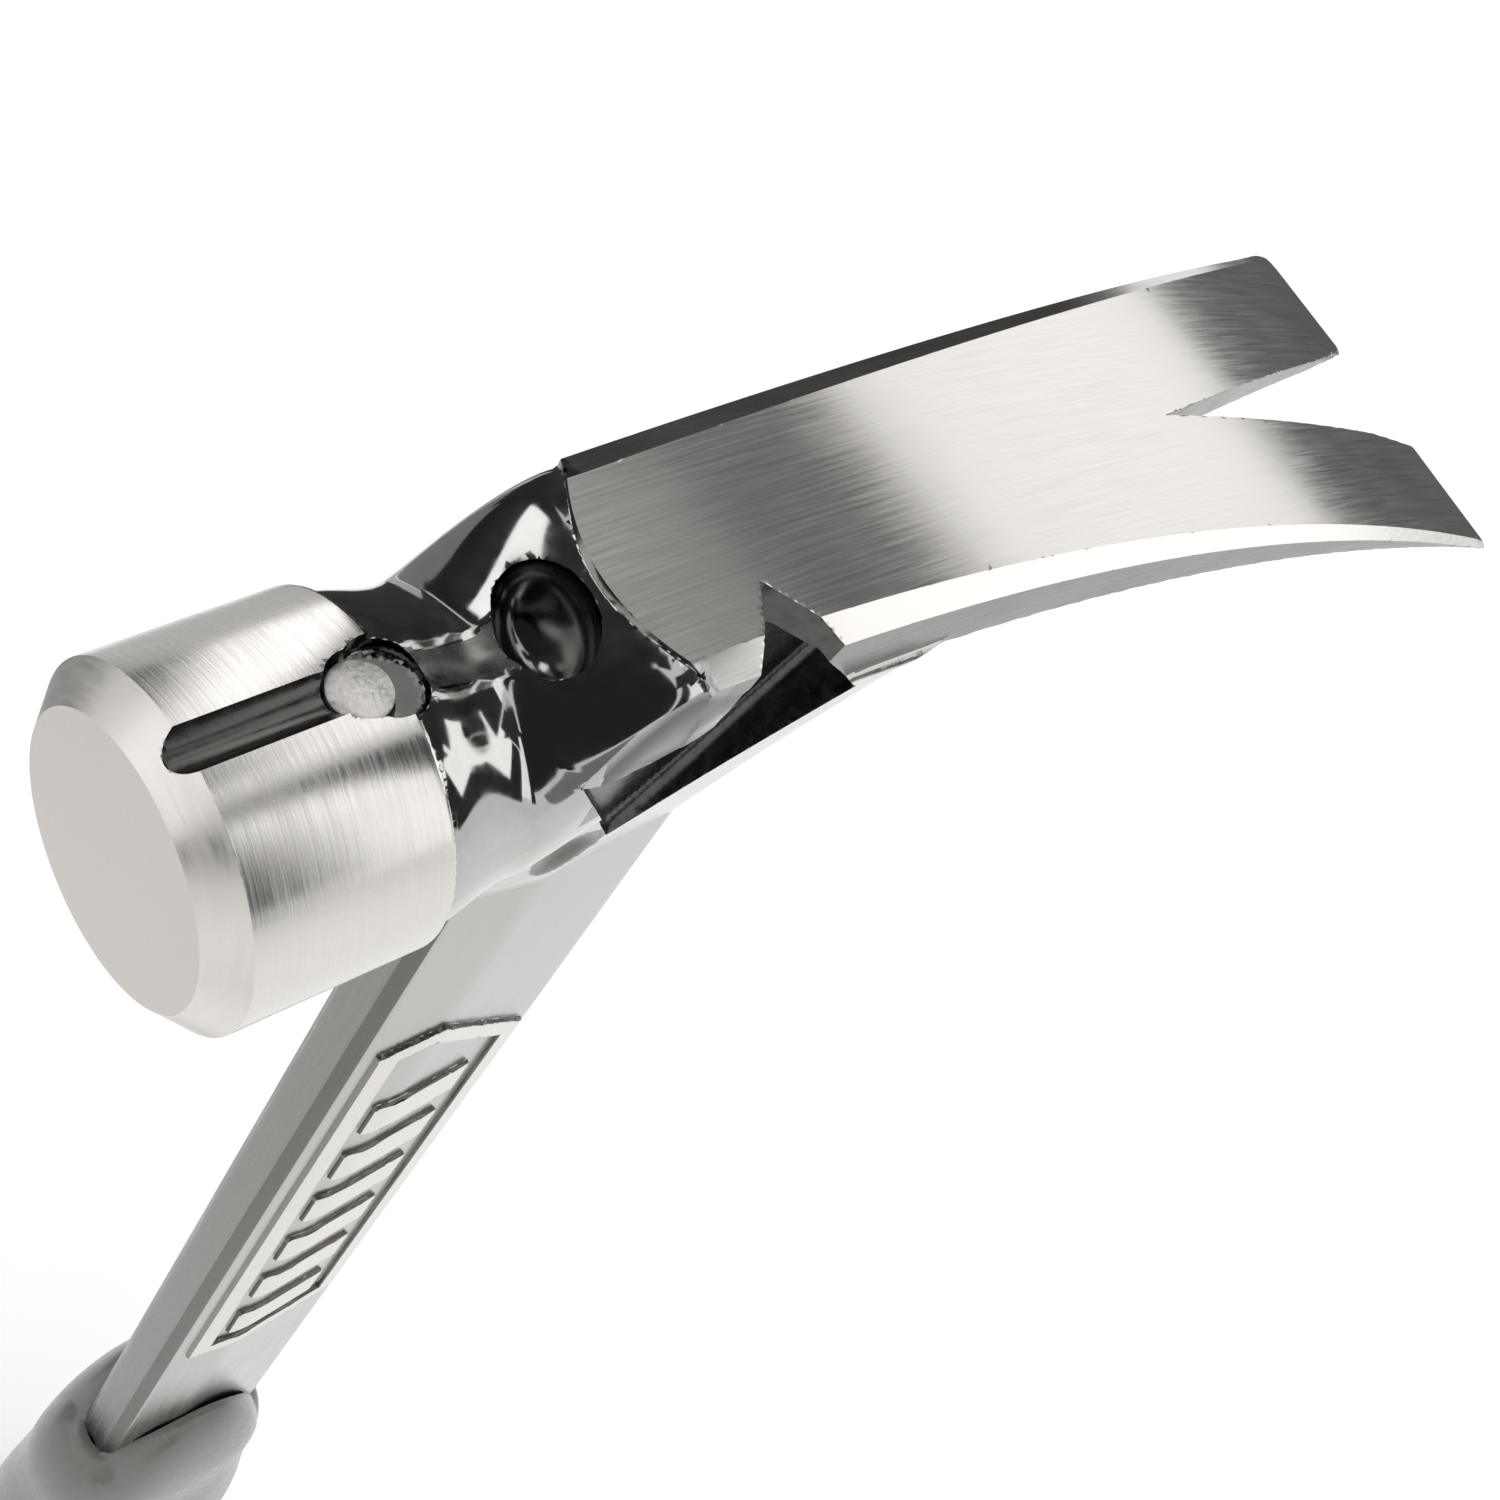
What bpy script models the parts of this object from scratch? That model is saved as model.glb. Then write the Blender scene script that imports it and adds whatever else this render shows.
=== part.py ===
"""Straight claw hammer: one steel forging, a nail magnet and a two-part moulded grip.

Metres, +Z up. The butt stands on z = 0 and the shank's axis is x = y = 0. The striking face looks along +X,
the claw runs along -X, and the side nail-puller notch opens along +Y.
"""
import math

import bpy
from mathutils import Matrix, Vector

MM = 0.001
GAP = 0.3 * MM  # clearance between neighbouring pieces
OVERSHOOT = 2.0 * MM  # how far a cutter runs past the face it opens

# Poll: turned about an axis along X
POLL_AXIS_Z = 330.0 * MM
POLL_RADIUS = 14.3 * MM
POLL_FACE_X = 50.7 * MM
POLL_LENGTH = 19.5 * MM
FACE_RADIUS = 11.5 * MM
FACE_FLAT_RADIUS = 4.0 * MM
FACE_CROWN = 0.35 * MM
CHAMFER_LENGTH = 2.6 * MM
POLL_SEGMENTS = 64

# Neck: round sections between the poll and the claw's root
NECK_FRONT_X = POLL_FACE_X - POLL_LENGTH
NECK_FRONT_RADIUS = 13.7 * MM
NECK_WAIST_X = 21.0 * MM
NECK_WAIST_HALF_WIDTH = 12.0 * MM
NECK_WAIST_TOP = 11.0 * MM  # above the poll axis
NECK_WAIST_BOTTOM = -11.4 * MM
NECK_HEEL_X = 11.0 * MM
NECK_HEEL_HALF_WIDTH = 11.6 * MM
NECK_HEEL_TOP = 14.8 * MM
NECK_HEEL_BOTTOM = -11.0 * MM
NECK_TAIL_X = -6.0 * MM
NECK_TAIL_HALF_WIDTH = 6.0 * MM
NECK_TAIL_TOP = 11.0 * MM
NECK_TAIL_BOTTOM = -3.0 * MM
NECK_ROUND = 2.0  # superellipse power of a round section
NECK_SQUARE = 5.0  # and of the heel's squared upper half
NECK_RING_POINTS = 48
NECK_STEPS = 8

# Claw: a long plate that curves down and widens towards its tips
CLAW_ROOT_X = 9.8 * MM
CLAW_ROOT_BULGE = 4.0 * MM  # the root edge bows forward in the middle
CLAW_LENGTH = 110.8 * MM
CLAW_TIP_X = CLAW_ROOT_X - CLAW_LENGTH
CLAW_TOP_Z = 16.4 * MM  # above the poll axis
CLAW_SLOPE = 0.034
CLAW_TOP_RADIUS = 248.0 * MM
CLAW_ROOT_HALF_WIDTH = 11.0 * MM
CLAW_FLARE = 0.021
CLAW_FLARE_RADIUS = 790.0 * MM
CLAW_BEVEL_WIDTH = 1.7 * MM
CLAW_BEVEL_DROP = 1.3 * MM
CLAW_TIP_BEVEL_SHARE = 0.5  # the edge bevel shrinks to this share at the tips
CLAW_ROOT_THICKNESS = 9.2 * MM
CLAW_TIP_THICKNESS = 0.6 * MM
CLAW_TAPER_POWER = 1.4
CLAW_SIDE_DRAFT = 0.6 * MM
CLAW_KEEL_SHARE = 0.12  # the underside's crown, as a share of the thickness
CLAW_KEEL_FALL = 0.25  # share of the crown lost halfway to the side
CLAW_TIP_CORNER = 1.6 * MM
CLAW_BULGE_POWER = 8.0
CLAW_STEPS = 22

# Nail slot between the claw's tips
SLOT_VERTEX_X = -53.0 * MM
SLOT_TAPER = 0.1285
SLOT_END_HALF_WIDTH = 0.35 * MM
SLOT_DRAFT = 0.16
SLOT_DEPTH = 16.0 * MM

# Nail-start seat on top of the poll and neck
GROOVE_RADIUS = 1.9 * MM
GROOVE_DEPTH = 1.4 * MM
MAGNET_RADIUS = 2.6 * MM
MAGNET_THICKNESS = 3.2 * MM
MAGNET_X = 33.7 * MM
MAGNET_TOP = 13.0 * MM  # above the poll axis
MAGNET_EDGE = 0.2 * MM
NAIL_HEAD_X = 31.7 * MM
NAIL_HEAD_RADIUS = 3.5 * MM
NAIL_HEAD_FLOOR = 11.6 * MM  # above the poll axis
RUNNEL_RADIUS = 1.9 * MM
RUNNEL_DEPTH = 0.8 * MM

# Oval pocket in the neck's top
POCKET_X = 17.0 * MM
POCKET_HALF_LENGTH = 3.9 * MM
POCKET_HALF_WIDTH = 5.35 * MM
POCKET_DEPTH = 5.4 * MM
POCKET_ROWS = 12
POCKET_COLUMNS = 32

# Side nail puller: a notch through the plate into a recess in the web
NOTCH_APEX_X = 1.6 * MM
NOTCH_APEX_Y = 4.4 * MM
NOTCH_FRONT_SLOPE = 0.61
NOTCH_REAR_SLOPE = -0.66
RECESS_FLOOR_Y = 5.5 * MM
RECESS_REAR = Vector((-9.5 * MM, 4.0 * MM))
RECESS_PLATE_Z = 12.2 * MM
RECESS_PLATE_REAR_X = -2.2 * MM
RECESS_PLATE_FRONT_X = 5.6 * MM
RECESS_CHEEK = Vector((7.2 * MM, 8.4 * MM))
RECESS_FRONT = Vector((19.4 * MM, 7.4 * MM))
RECESS_BELLY = Vector((11.3 * MM, -5.7 * MM))
RECESS_BOTTOM = Vector((2.6 * MM, -20.4 * MM))

# Shank: ten-sided section, ridged on both sides, flaring into the head through the web
SHANK_FRONT_X = 13.3 * MM
SHANK_REAR_X = -12.4 * MM
SHANK_HALF_WIDTH = 4.6 * MM
SHANK_RIDGE_X = 4.0 * MM
SHANK_FRONT_HALF = 2.06 * MM
SHANK_FRONT_BEVEL = 1.1 * MM
SHANK_FRONT_SHOULDER = 3.4 * MM
SHANK_REAR_HALF = 2.6 * MM
SHANK_REAR_BEVEL = 0.9 * MM
SHANK_REAR_SHOULDER = 3.6 * MM
SHANK_END = -216.0 * MM  # below the poll axis, inside the grip
WEB_FOOT = -31.0 * MM
WEB_TOP = 6.0 * MM
WEB_TOP_HALF_WIDTH = 11.4 * MM
WEB_TOP_FRONT_X = 21.0 * MM
WEB_TOP_REAR_X = -19.0 * MM
WEB_TOP_REAR_SHOULDER = 11.6 * MM
WEB_FRONT_POWER = 2.2
WEB_REAR_POWER = 2.2
WEB_SIDE_POWER = 1.0
WEB_STEPS = 10

# Raised panel on each side of the shank: a rim and plain bars that follow the shank's facets
PANEL_RISE = 0.5 * MM
PANEL_TOP = -61.5 * MM  # at the ridge
PANEL_FRONT_DROP = 3.5 * MM  # how far the top edge falls towards the front
PANEL_REAR_DROP = 13.0 * MM  # and towards the rear
PANEL_BOTTOM = -155.0 * MM
PANEL_FRONT_X = 10.3 * MM
PANEL_REAR_X = -10.4 * MM
PANEL_RIM = 2.6 * MM
BAR_COUNT = 6
BAR_WIDTH = 7.0 * MM
BAR_LENGTH = 12.0 * MM
BAR_X = 0.4 * MM

# Tang inside the grip, with holes that lock the moulded core
TANG_FRONT_X = 9.5 * MM
TANG_REAR_X = -9.0 * MM
TANG_HALF_WIDTH = 3.1 * MM
TANG_END = -321.0 * MM
TANG_HOLE_RADIUS = 4.0 * MM
TANG_HOLE_COUNT = 3
TANG_HOLE_FIRST = -236.0 * MM
TANG_HOLE_PITCH = 32.0 * MM

# Moulded grip
CORE_WALL = 2.2 * MM
CORE_EDGE = 1.2 * MM
BUTT_THICKNESS = 6.0 * MM
BUTT_FRONT_X = 21.5 * MM
BUTT_REAR_X = -24.0 * MM
BUTT_HALF_WIDTH = 15.0 * MM
BUTT_EDGE = 1.5 * MM
GRIP_CROWN = -187.0 * MM  # top of the collar at mid-depth
GRIP_COLLAR_TILT = 0.47
GRIP_COLLAR_DROP = 14.0 * MM
GRIP_COLLAR_SPAN = 12.9 * MM
GRIP_LIP = 0.9 * MM
GRIP_SHOULDER_Z = -206.0 * MM
GRIP_SHOULDER_FRONT_X = 19.2 * MM
GRIP_SHOULDER_REAR_X = -15.2 * MM
GRIP_SHOULDER_HALF_WIDTH = 10.4 * MM
GRIP_SHOULDER_HANG = 0.3  # share of the collar's curve left at the shoulder
GRIP_PALM_Z = -240.0 * MM
GRIP_PALM_FRONT_X = 21.0 * MM
GRIP_PALM_REAR_X = -17.4 * MM
GRIP_PALM_HALF_WIDTH = 12.2 * MM
GRIP_WAIST_Z = -286.0 * MM
GRIP_WAIST_FRONT_X = 18.6 * MM
GRIP_WAIST_REAR_X = -18.2 * MM
GRIP_WAIST_HALF_WIDTH = 11.8 * MM
GRIP_PLUG_SHARE = 0.5  # the collar closes inside the shank's opening, at this share of the shank
GRIP_POINTS = 36
GRIP_SQUARENESS = 2.5
GRIP_STEPS = 5

HOLE_SEGMENTS = 32
SMOOTH_ANGLE = math.radians(28.0)
PART_NAME = "straight_claw_hammer"
X_AXIS = Vector((1.0, 0.0, 0.0))
Z_AXIS = Vector((0.0, 0.0, 1.0))

for scene_object in list(bpy.data.objects):
    bpy.data.objects.remove(scene_object)


def new_collection(name):
    collection = bpy.data.collections.new(name)
    bpy.context.scene.collection.children.link(collection)
    return collection


parts = new_collection(PART_NAME)
cutters = new_collection("cutters")


def add_object(name, mesh, collection):
    obj = bpy.data.objects.new(name, mesh)
    collection.objects.link(obj)
    if collection is cutters:
        obj.hide_render = True
        obj.display_type = "WIRE"
    return obj


def loft(name, rings, collection):
    """Closes equal rings of points into one solid, each ring joined to the next."""
    count = len(rings[0])
    faces = [list(range(count))[::-1]]
    for level in range(len(rings) - 1):
        low = level * count
        for index in range(count):
            after = (index + 1) % count
            faces.append([low + index, low + after, low + count + after, low + count + index])
    last = (len(rings) - 1) * count
    faces.append([last + index for index in range(count)])
    mesh = bpy.data.meshes.new(name)
    mesh.from_pydata([point for ring in rings for point in ring], [], faces)
    mesh.update()
    return add_object(name, mesh, collection)


def boolean(target, tool, operation):
    modifier = target.modifiers.new(tool.name, "BOOLEAN")
    modifier.operation = operation
    modifier.solver = "EXACT"
    modifier.object = tool


def bevel(obj, width, segments):
    modifier = obj.modifiers.new("edge", "BEVEL")
    modifier.width = width
    modifier.segments = segments
    modifier.limit_method = "ANGLE"


def shade(obj):
    obj.data.shade_smooth()
    obj.data.set_sharp_from_angle(angle=SMOOTH_ANGLE)


def material(obj, name, color, metallic, roughness):
    surface = bpy.data.materials.new(name)
    surface.use_nodes = True
    shader = surface.node_tree.nodes["Principled BSDF"]
    shader.inputs["Base Color"].default_value = (*color, 1.0)
    shader.inputs["Metallic"].default_value = metallic
    shader.inputs["Roughness"].default_value = roughness
    obj.data.materials.append(surface)


def blend(first, second, share):
    return first + (second - first) * share


def ease(share):
    """Smooth step from 0 to 1 with level ends."""
    return share * share * (3.0 - 2.0 * share)


def cylinder(name, start, end, radius, segments, collection):
    """Round bar between two points."""
    start = Vector(start)
    axis = Vector(end) - start
    turn = Z_AXIS.rotation_difference(axis).to_matrix()
    rings = []
    for level in (0.0, 1.0):
        ring = []
        for index in range(segments):
            angle = 2.0 * math.pi * index / segments
            spoke = turn @ Vector((math.cos(angle), math.sin(angle), 0.0))
            ring.append(start + axis * level + spoke * radius)
        rings.append(ring)
    return loft(name, rings, collection)


def prism(name, outline, reach, collection):
    """Extrudes a flat outline of 3-D points along a direction."""
    low = list(outline)
    high = [point + reach for point in low]
    area = sum((low[i - 1].cross(low[i]) for i in range(len(low))), Vector())
    if area.dot(reach) < 0.0:
        low.reverse()
        high.reverse()
    return loft(name, [low, high], collection)


def box(name, low, high, collection):
    outline = [
        Vector((low[0], low[1], low[2])),
        Vector((high[0], low[1], low[2])),
        Vector((high[0], high[1], low[2])),
        Vector((low[0], high[1], low[2])),
    ]
    return prism(name, outline, Z_AXIS * (high[2] - low[2]), collection)


def at_head(x, y, z):
    """Point given from the poll axis."""
    return Vector((x, y, POLL_AXIS_Z + z))


def make_poll():
    crown_x = POLL_FACE_X
    edge_x = POLL_FACE_X - FACE_CROWN
    rear_x = NECK_FRONT_X
    outline = [
        (0.0, crown_x),
        (FACE_FLAT_RADIUS, crown_x),
        (FACE_RADIUS, edge_x),
        (POLL_RADIUS, edge_x - CHAMFER_LENGTH),
        (POLL_RADIUS, rear_x),
        (0.0, rear_x),
    ]
    mesh = bpy.data.meshes.new("poll")
    edges = [(index, index + 1) for index in range(len(outline) - 1)]
    mesh.from_pydata([(radius, 0.0, height) for radius, height in outline], edges, [])
    poll = add_object("poll", mesh, cutters)
    screw = poll.modifiers.new("turn", "SCREW")
    screw.axis = "Z"
    screw.steps = POLL_SEGMENTS
    screw.render_steps = POLL_SEGMENTS
    screw.use_merge_vertices = True
    screw.merge_threshold = 0.0001
    poll.matrix_world = Matrix.Translation(at_head(0.0, 0.0, 0.0)) @ Matrix.Rotation(math.pi / 2, 4, "Y")
    return poll


def rounded(value, power):
    """Coordinate of a superellipse for the cosine or sine of its angle."""
    return math.copysign(abs(value) ** (2.0 / power), value)


def neck_ring(x, half_width, top, bottom, squareness):
    """Round section whose upper half squares up towards the claw."""
    centre = (top + bottom) / 2
    half_height = (top - bottom) / 2
    ring = []
    for index in range(NECK_RING_POINTS):
        angle = 2.0 * math.pi * index / NECK_RING_POINTS
        power = squareness if index < NECK_RING_POINTS / 2 else NECK_ROUND
        y = half_width * rounded(math.cos(angle), power)
        ring.append(at_head(x, y, centre + half_height * rounded(math.sin(angle), power)))
    return ring


def make_neck():
    stations = [
        (NECK_TAIL_X, NECK_TAIL_HALF_WIDTH, NECK_TAIL_TOP, NECK_TAIL_BOTTOM, NECK_SQUARE),
        (NECK_HEEL_X, NECK_HEEL_HALF_WIDTH, NECK_HEEL_TOP, NECK_HEEL_BOTTOM, NECK_SQUARE),
        (NECK_WAIST_X, NECK_WAIST_HALF_WIDTH, NECK_WAIST_TOP, NECK_WAIST_BOTTOM, NECK_ROUND),
        (NECK_FRONT_X, NECK_FRONT_RADIUS, NECK_FRONT_RADIUS, -NECK_FRONT_RADIUS, NECK_ROUND),
    ]
    rings = [neck_ring(*stations[0])]
    for before, after in zip(stations, stations[1:]):
        for step in range(1, NECK_STEPS + 1):
            share = step / NECK_STEPS
            x = blend(before[0], after[0], share)
            sizes = [blend(low, high, ease(share)) for low, high in zip(before[1:], after[1:])]
            rings.append(neck_ring(x, *sizes))
    rings.append([point + X_AXIS * OVERSHOOT for point in rings[-1]])
    return loft("neck", rings, cutters)


def claw_top(x):
    run = CLAW_ROOT_X - x
    return CLAW_TOP_Z - CLAW_SLOPE * run - run * run / (2.0 * CLAW_TOP_RADIUS)


def claw_half_width(x):
    run = CLAW_ROOT_X - x
    return CLAW_ROOT_HALF_WIDTH + CLAW_FLARE * run + run * run / (2.0 * CLAW_FLARE_RADIUS)


def claw_ring(x, bulge, corner):
    """Section of the claw: flat top, bevelled edges, drafted sides and a crowned underside."""
    share = max(0.0, (CLAW_ROOT_X - x) / CLAW_LENGTH)
    top = claw_top(x)
    outer = claw_half_width(x) - corner
    bevel_share = blend(1.0, CLAW_TIP_BEVEL_SHARE, share)
    inner = outer - CLAW_BEVEL_WIDTH * bevel_share
    thickness = blend(CLAW_ROOT_THICKNESS, CLAW_TIP_THICKNESS, share ** CLAW_TAPER_POWER)
    drop = min(CLAW_BEVEL_DROP * bevel_share, thickness / 2)
    lower = outer - CLAW_SIDE_DRAFT
    half = [(0.0, top), (inner / 2, top), (inner, top), (outer, top - drop), (lower, top - thickness)]
    keel = thickness * (1.0 + CLAW_KEEL_SHARE)
    half += [(lower / 2, top - blend(keel, thickness, CLAW_KEEL_FALL)), (0.0, top - keel)]
    outline = [(-y, z) for y, z in half[1:-1]] + half[::-1]
    return [at_head(x + bulge * (1.0 - (y / outer) ** 2), y, z) for y, z in outline]


def make_claw():
    rings = [claw_ring(CLAW_TIP_X, 0.0, CLAW_TIP_CORNER)]
    start = CLAW_TIP_X + CLAW_TIP_CORNER
    for step in range(CLAW_STEPS + 1):
        share = step / CLAW_STEPS
        rings.append(claw_ring(blend(start, CLAW_ROOT_X, share), CLAW_ROOT_BULGE * share ** CLAW_BULGE_POWER, 0.0))
    return loft("claw", rings, cutters)


def shank_ring(z, front, rear, half_width, rear_shoulder, grow=0.0):
    """Ten-sided section; the side points spread as the shank flares into the head."""
    spread = half_width / SHANK_HALF_WIDTH
    rear_spread = rear_shoulder / SHANK_REAR_SHOULDER
    half = [
        (front + grow, SHANK_FRONT_HALF * spread),
        (front - SHANK_FRONT_BEVEL * spread + grow, SHANK_FRONT_SHOULDER * spread + grow),
        (SHANK_RIDGE_X, half_width + grow),
        (rear + SHANK_REAR_BEVEL * rear_spread - grow, rear_shoulder + grow),
        (rear - grow, SHANK_REAR_HALF * rear_spread),
    ]
    outline = half + [(x, -y) for x, y in reversed(half)]
    return [at_head(x, y, z) for x, y in outline]


def straight_ring(z, grow=0.0):
    """Section of the shank below the web."""
    return shank_ring(z, SHANK_FRONT_X, SHANK_REAR_X, SHANK_HALF_WIDTH, SHANK_REAR_SHOULDER, grow)


def make_shank():
    """Shank with the web that carries the head; the web's front and rear sweep out into fillets."""
    rings = [straight_ring(SHANK_END)]
    for step in range(WEB_STEPS + 1):
        share = step / WEB_STEPS
        z = blend(WEB_FOOT, WEB_TOP, share)
        front = blend(SHANK_FRONT_X, WEB_TOP_FRONT_X, share ** WEB_FRONT_POWER)
        rear = blend(SHANK_REAR_X, WEB_TOP_REAR_X, share ** WEB_REAR_POWER)
        half_width = blend(SHANK_HALF_WIDTH, WEB_TOP_HALF_WIDTH, share ** WEB_SIDE_POWER)
        rear_shoulder = blend(SHANK_REAR_SHOULDER, WEB_TOP_REAR_SHOULDER, share ** WEB_SIDE_POWER)
        rings.append(shank_ring(z, front, rear, half_width, rear_shoulder))
    return loft("hammer_forging", rings, parts)


def make_slot():
    """Tapered nail slot that follows the claw's top and narrows with depth."""
    mouth_x = CLAW_TIP_X - OVERSHOOT
    end_x = SLOT_VERTEX_X - SLOT_END_HALF_WIDTH / SLOT_TAPER
    rings = []
    for depth in (SLOT_DEPTH, -OVERSHOOT):
        back_x = end_x - SLOT_DRAFT * depth / SLOT_TAPER
        mouth = SLOT_TAPER * (SLOT_VERTEX_X - mouth_x) - SLOT_DRAFT * depth
        back_z = claw_top(back_x) - depth
        mouth_z = claw_top(mouth_x) - depth
        rings.append([
            at_head(back_x, SLOT_END_HALF_WIDTH, back_z),
            at_head(mouth_x, mouth, mouth_z),
            at_head(mouth_x, -mouth, mouth_z),
            at_head(back_x, -SLOT_END_HALF_WIDTH, back_z),
        ])
    return loft("nail_slot", rings, cutters)


def make_pocket():
    rings = []
    for row in range(1, POCKET_ROWS):
        angle = math.pi * row / POCKET_ROWS
        ring = []
        for column in range(POCKET_COLUMNS):
            turn = 2.0 * math.pi * column / POCKET_COLUMNS
            x = POCKET_X + POCKET_HALF_LENGTH * math.sin(angle) * math.cos(turn)
            y = POCKET_HALF_WIDTH * math.sin(angle) * math.sin(turn)
            ring.append(at_head(x, y, NECK_WAIST_TOP - POCKET_DEPTH * math.cos(angle)))
        rings.append(ring)
    return loft("neck_pocket", rings, cutters)


def make_notch():
    reach = WEB_TOP_HALF_WIDTH + OVERSHOOT - NOTCH_APEX_Y
    outline = [
        at_head(NOTCH_APEX_X, NOTCH_APEX_Y, RECESS_PLATE_Z - OVERSHOOT),
        at_head(NOTCH_APEX_X + NOTCH_FRONT_SLOPE * reach, NOTCH_APEX_Y + reach, RECESS_PLATE_Z - OVERSHOOT),
        at_head(NOTCH_APEX_X + NOTCH_REAR_SLOPE * reach, NOTCH_APEX_Y + reach, RECESS_PLATE_Z - OVERSHOOT),
    ]
    height = CLAW_TOP_Z - RECESS_PLATE_Z + 2.0 * OVERSHOOT
    return prism("side_notch", outline, Z_AXIS * height, cutters)


def make_recess():
    corners = [
        RECESS_REAR,
        Vector((RECESS_PLATE_REAR_X, RECESS_PLATE_Z)),
        Vector((RECESS_PLATE_FRONT_X, RECESS_PLATE_Z)),
        RECESS_CHEEK,
        RECESS_FRONT,
        RECESS_BELLY,
        RECESS_BOTTOM,
    ]
    outline = [at_head(corner.x, RECESS_FLOOR_Y, corner.y) for corner in corners]
    reach = Vector((0.0, WEB_TOP_HALF_WIDTH + OVERSHOOT - RECESS_FLOOR_Y, 0.0))
    return prism("side_recess", outline, reach, cutters)


def panel_prism(name, inset):
    """The panel's outline, extruded through the whole width of the shank."""
    front = PANEL_FRONT_X - inset
    rear = PANEL_REAR_X + inset
    top = PANEL_TOP - inset
    bottom = PANEL_BOTTOM + inset
    corners = [
        (front, bottom),
        (front, top - PANEL_FRONT_DROP),
        (SHANK_RIDGE_X, top),
        (rear, top - PANEL_REAR_DROP),
        (rear, bottom),
    ]
    near = SHANK_HALF_WIDTH + OVERSHOOT
    outline = [at_head(x, -near, z) for x, z in corners]
    return prism(name, outline, Vector((0.0, 2.0 * near, 0.0)), cutters)


def make_panel():
    """Rim and bars on both sides: the shank's own section grown a little inside the panel's outline."""
    panel = loft("panel", [
        straight_ring(PANEL_BOTTOM - OVERSHOOT, PANEL_RISE),
        straight_ring(PANEL_TOP + OVERSHOOT, PANEL_RISE),
    ], cutters)
    boolean(panel, panel_prism("panel_edge", 0.0), "INTERSECT")
    floor = panel_prism("panel_floor", PANEL_RIM)
    room_top = PANEL_TOP - PANEL_REAR_DROP - PANEL_RIM
    room_bottom = PANEL_BOTTOM + PANEL_RIM
    pitch = (room_top - room_bottom) / BAR_COUNT
    deep = SHANK_HALF_WIDTH + 2.0 * OVERSHOOT
    for index in range(BAR_COUNT):
        middle = room_bottom + pitch * (index + 0.5)
        low = at_head(BAR_X - BAR_LENGTH / 2, -deep, middle - BAR_WIDTH / 2)
        high = at_head(BAR_X + BAR_LENGTH / 2, deep, middle + BAR_WIDTH / 2)
        boolean(floor, box("panel_bar_%d" % (index + 1), low, high, cutters), "DIFFERENCE")
    boolean(panel, floor, "DIFFERENCE")
    return panel


def tang_box(name, grow, top, end, collection):
    low = at_head(TANG_REAR_X - grow, -TANG_HALF_WIDTH - grow, end)
    high = at_head(TANG_FRONT_X + grow, TANG_HALF_WIDTH + grow, top)
    return box(name, low, high, collection)


def tang_bars(prefix, radius, half_length):
    """One round bar across each of the tang's holes."""
    middle = (TANG_FRONT_X + TANG_REAR_X) / 2
    bars = []
    for index in range(TANG_HOLE_COUNT):
        z = TANG_HOLE_FIRST - index * TANG_HOLE_PITCH
        start = at_head(middle, -half_length, z)
        end = at_head(middle, half_length, z)
        bars.append(cylinder("%s_%d" % (prefix, index + 1), start, end, radius, HOLE_SEGMENTS, cutters))
    return bars


def make_forging():
    forging = make_shank()
    boolean(forging, make_neck(), "UNION")
    boolean(forging, make_claw(), "UNION")
    boolean(forging, make_poll(), "UNION")
    boolean(forging, tang_box("tang", 0.0, SHANK_END + OVERSHOOT, TANG_END, cutters), "UNION")
    boolean(forging, make_panel(), "UNION")

    groove_z = POLL_RADIUS - GROOVE_DEPTH + GROOVE_RADIUS
    groove_start = at_head(MAGNET_X, 0.0, groove_z)
    groove_end = at_head(POLL_FACE_X + OVERSHOOT, 0.0, groove_z)
    boolean(forging, cylinder("nail_groove", groove_start, groove_end, GROOVE_RADIUS, HOLE_SEGMENTS, cutters), "DIFFERENCE")
    bore_floor = at_head(MAGNET_X, 0.0, MAGNET_TOP - MAGNET_THICKNESS - GAP)
    bore_top = at_head(MAGNET_X, 0.0, POLL_RADIUS + OVERSHOOT)
    bore = cylinder("magnet_bore", bore_floor, bore_top, MAGNET_RADIUS + GAP, HOLE_SEGMENTS, cutters)
    boolean(forging, bore, "DIFFERENCE")
    seat_floor = at_head(NAIL_HEAD_X, 0.0, NAIL_HEAD_FLOOR)
    seat_top = at_head(NAIL_HEAD_X, 0.0, POLL_RADIUS + OVERSHOOT)
    seat = cylinder("nail_head_seat", seat_floor, seat_top, NAIL_HEAD_RADIUS, HOLE_SEGMENTS, cutters)
    boolean(forging, seat, "DIFFERENCE")
    runnel_lift = RUNNEL_RADIUS - RUNNEL_DEPTH
    runnel_start = at_head(POCKET_X, 0.0, NECK_WAIST_TOP + runnel_lift)
    runnel_end = at_head(NAIL_HEAD_X, 0.0, POLL_RADIUS - RUNNEL_DEPTH + runnel_lift)
    runnel = cylinder("nail_runnel", runnel_start, runnel_end, RUNNEL_RADIUS, HOLE_SEGMENTS, cutters)
    boolean(forging, runnel, "DIFFERENCE")
    boolean(forging, make_pocket(), "DIFFERENCE")
    boolean(forging, make_slot(), "DIFFERENCE")
    boolean(forging, make_notch(), "DIFFERENCE")
    boolean(forging, make_recess(), "DIFFERENCE")
    for hole in tang_bars("tang_hole", TANG_HOLE_RADIUS, TANG_HALF_WIDTH + OVERSHOOT):
        boolean(forging, hole, "DIFFERENCE")
    shade(forging)
    material(forging, "forged_steel", (0.62, 0.61, 0.60), 1.0, 0.24)
    return forging


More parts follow.
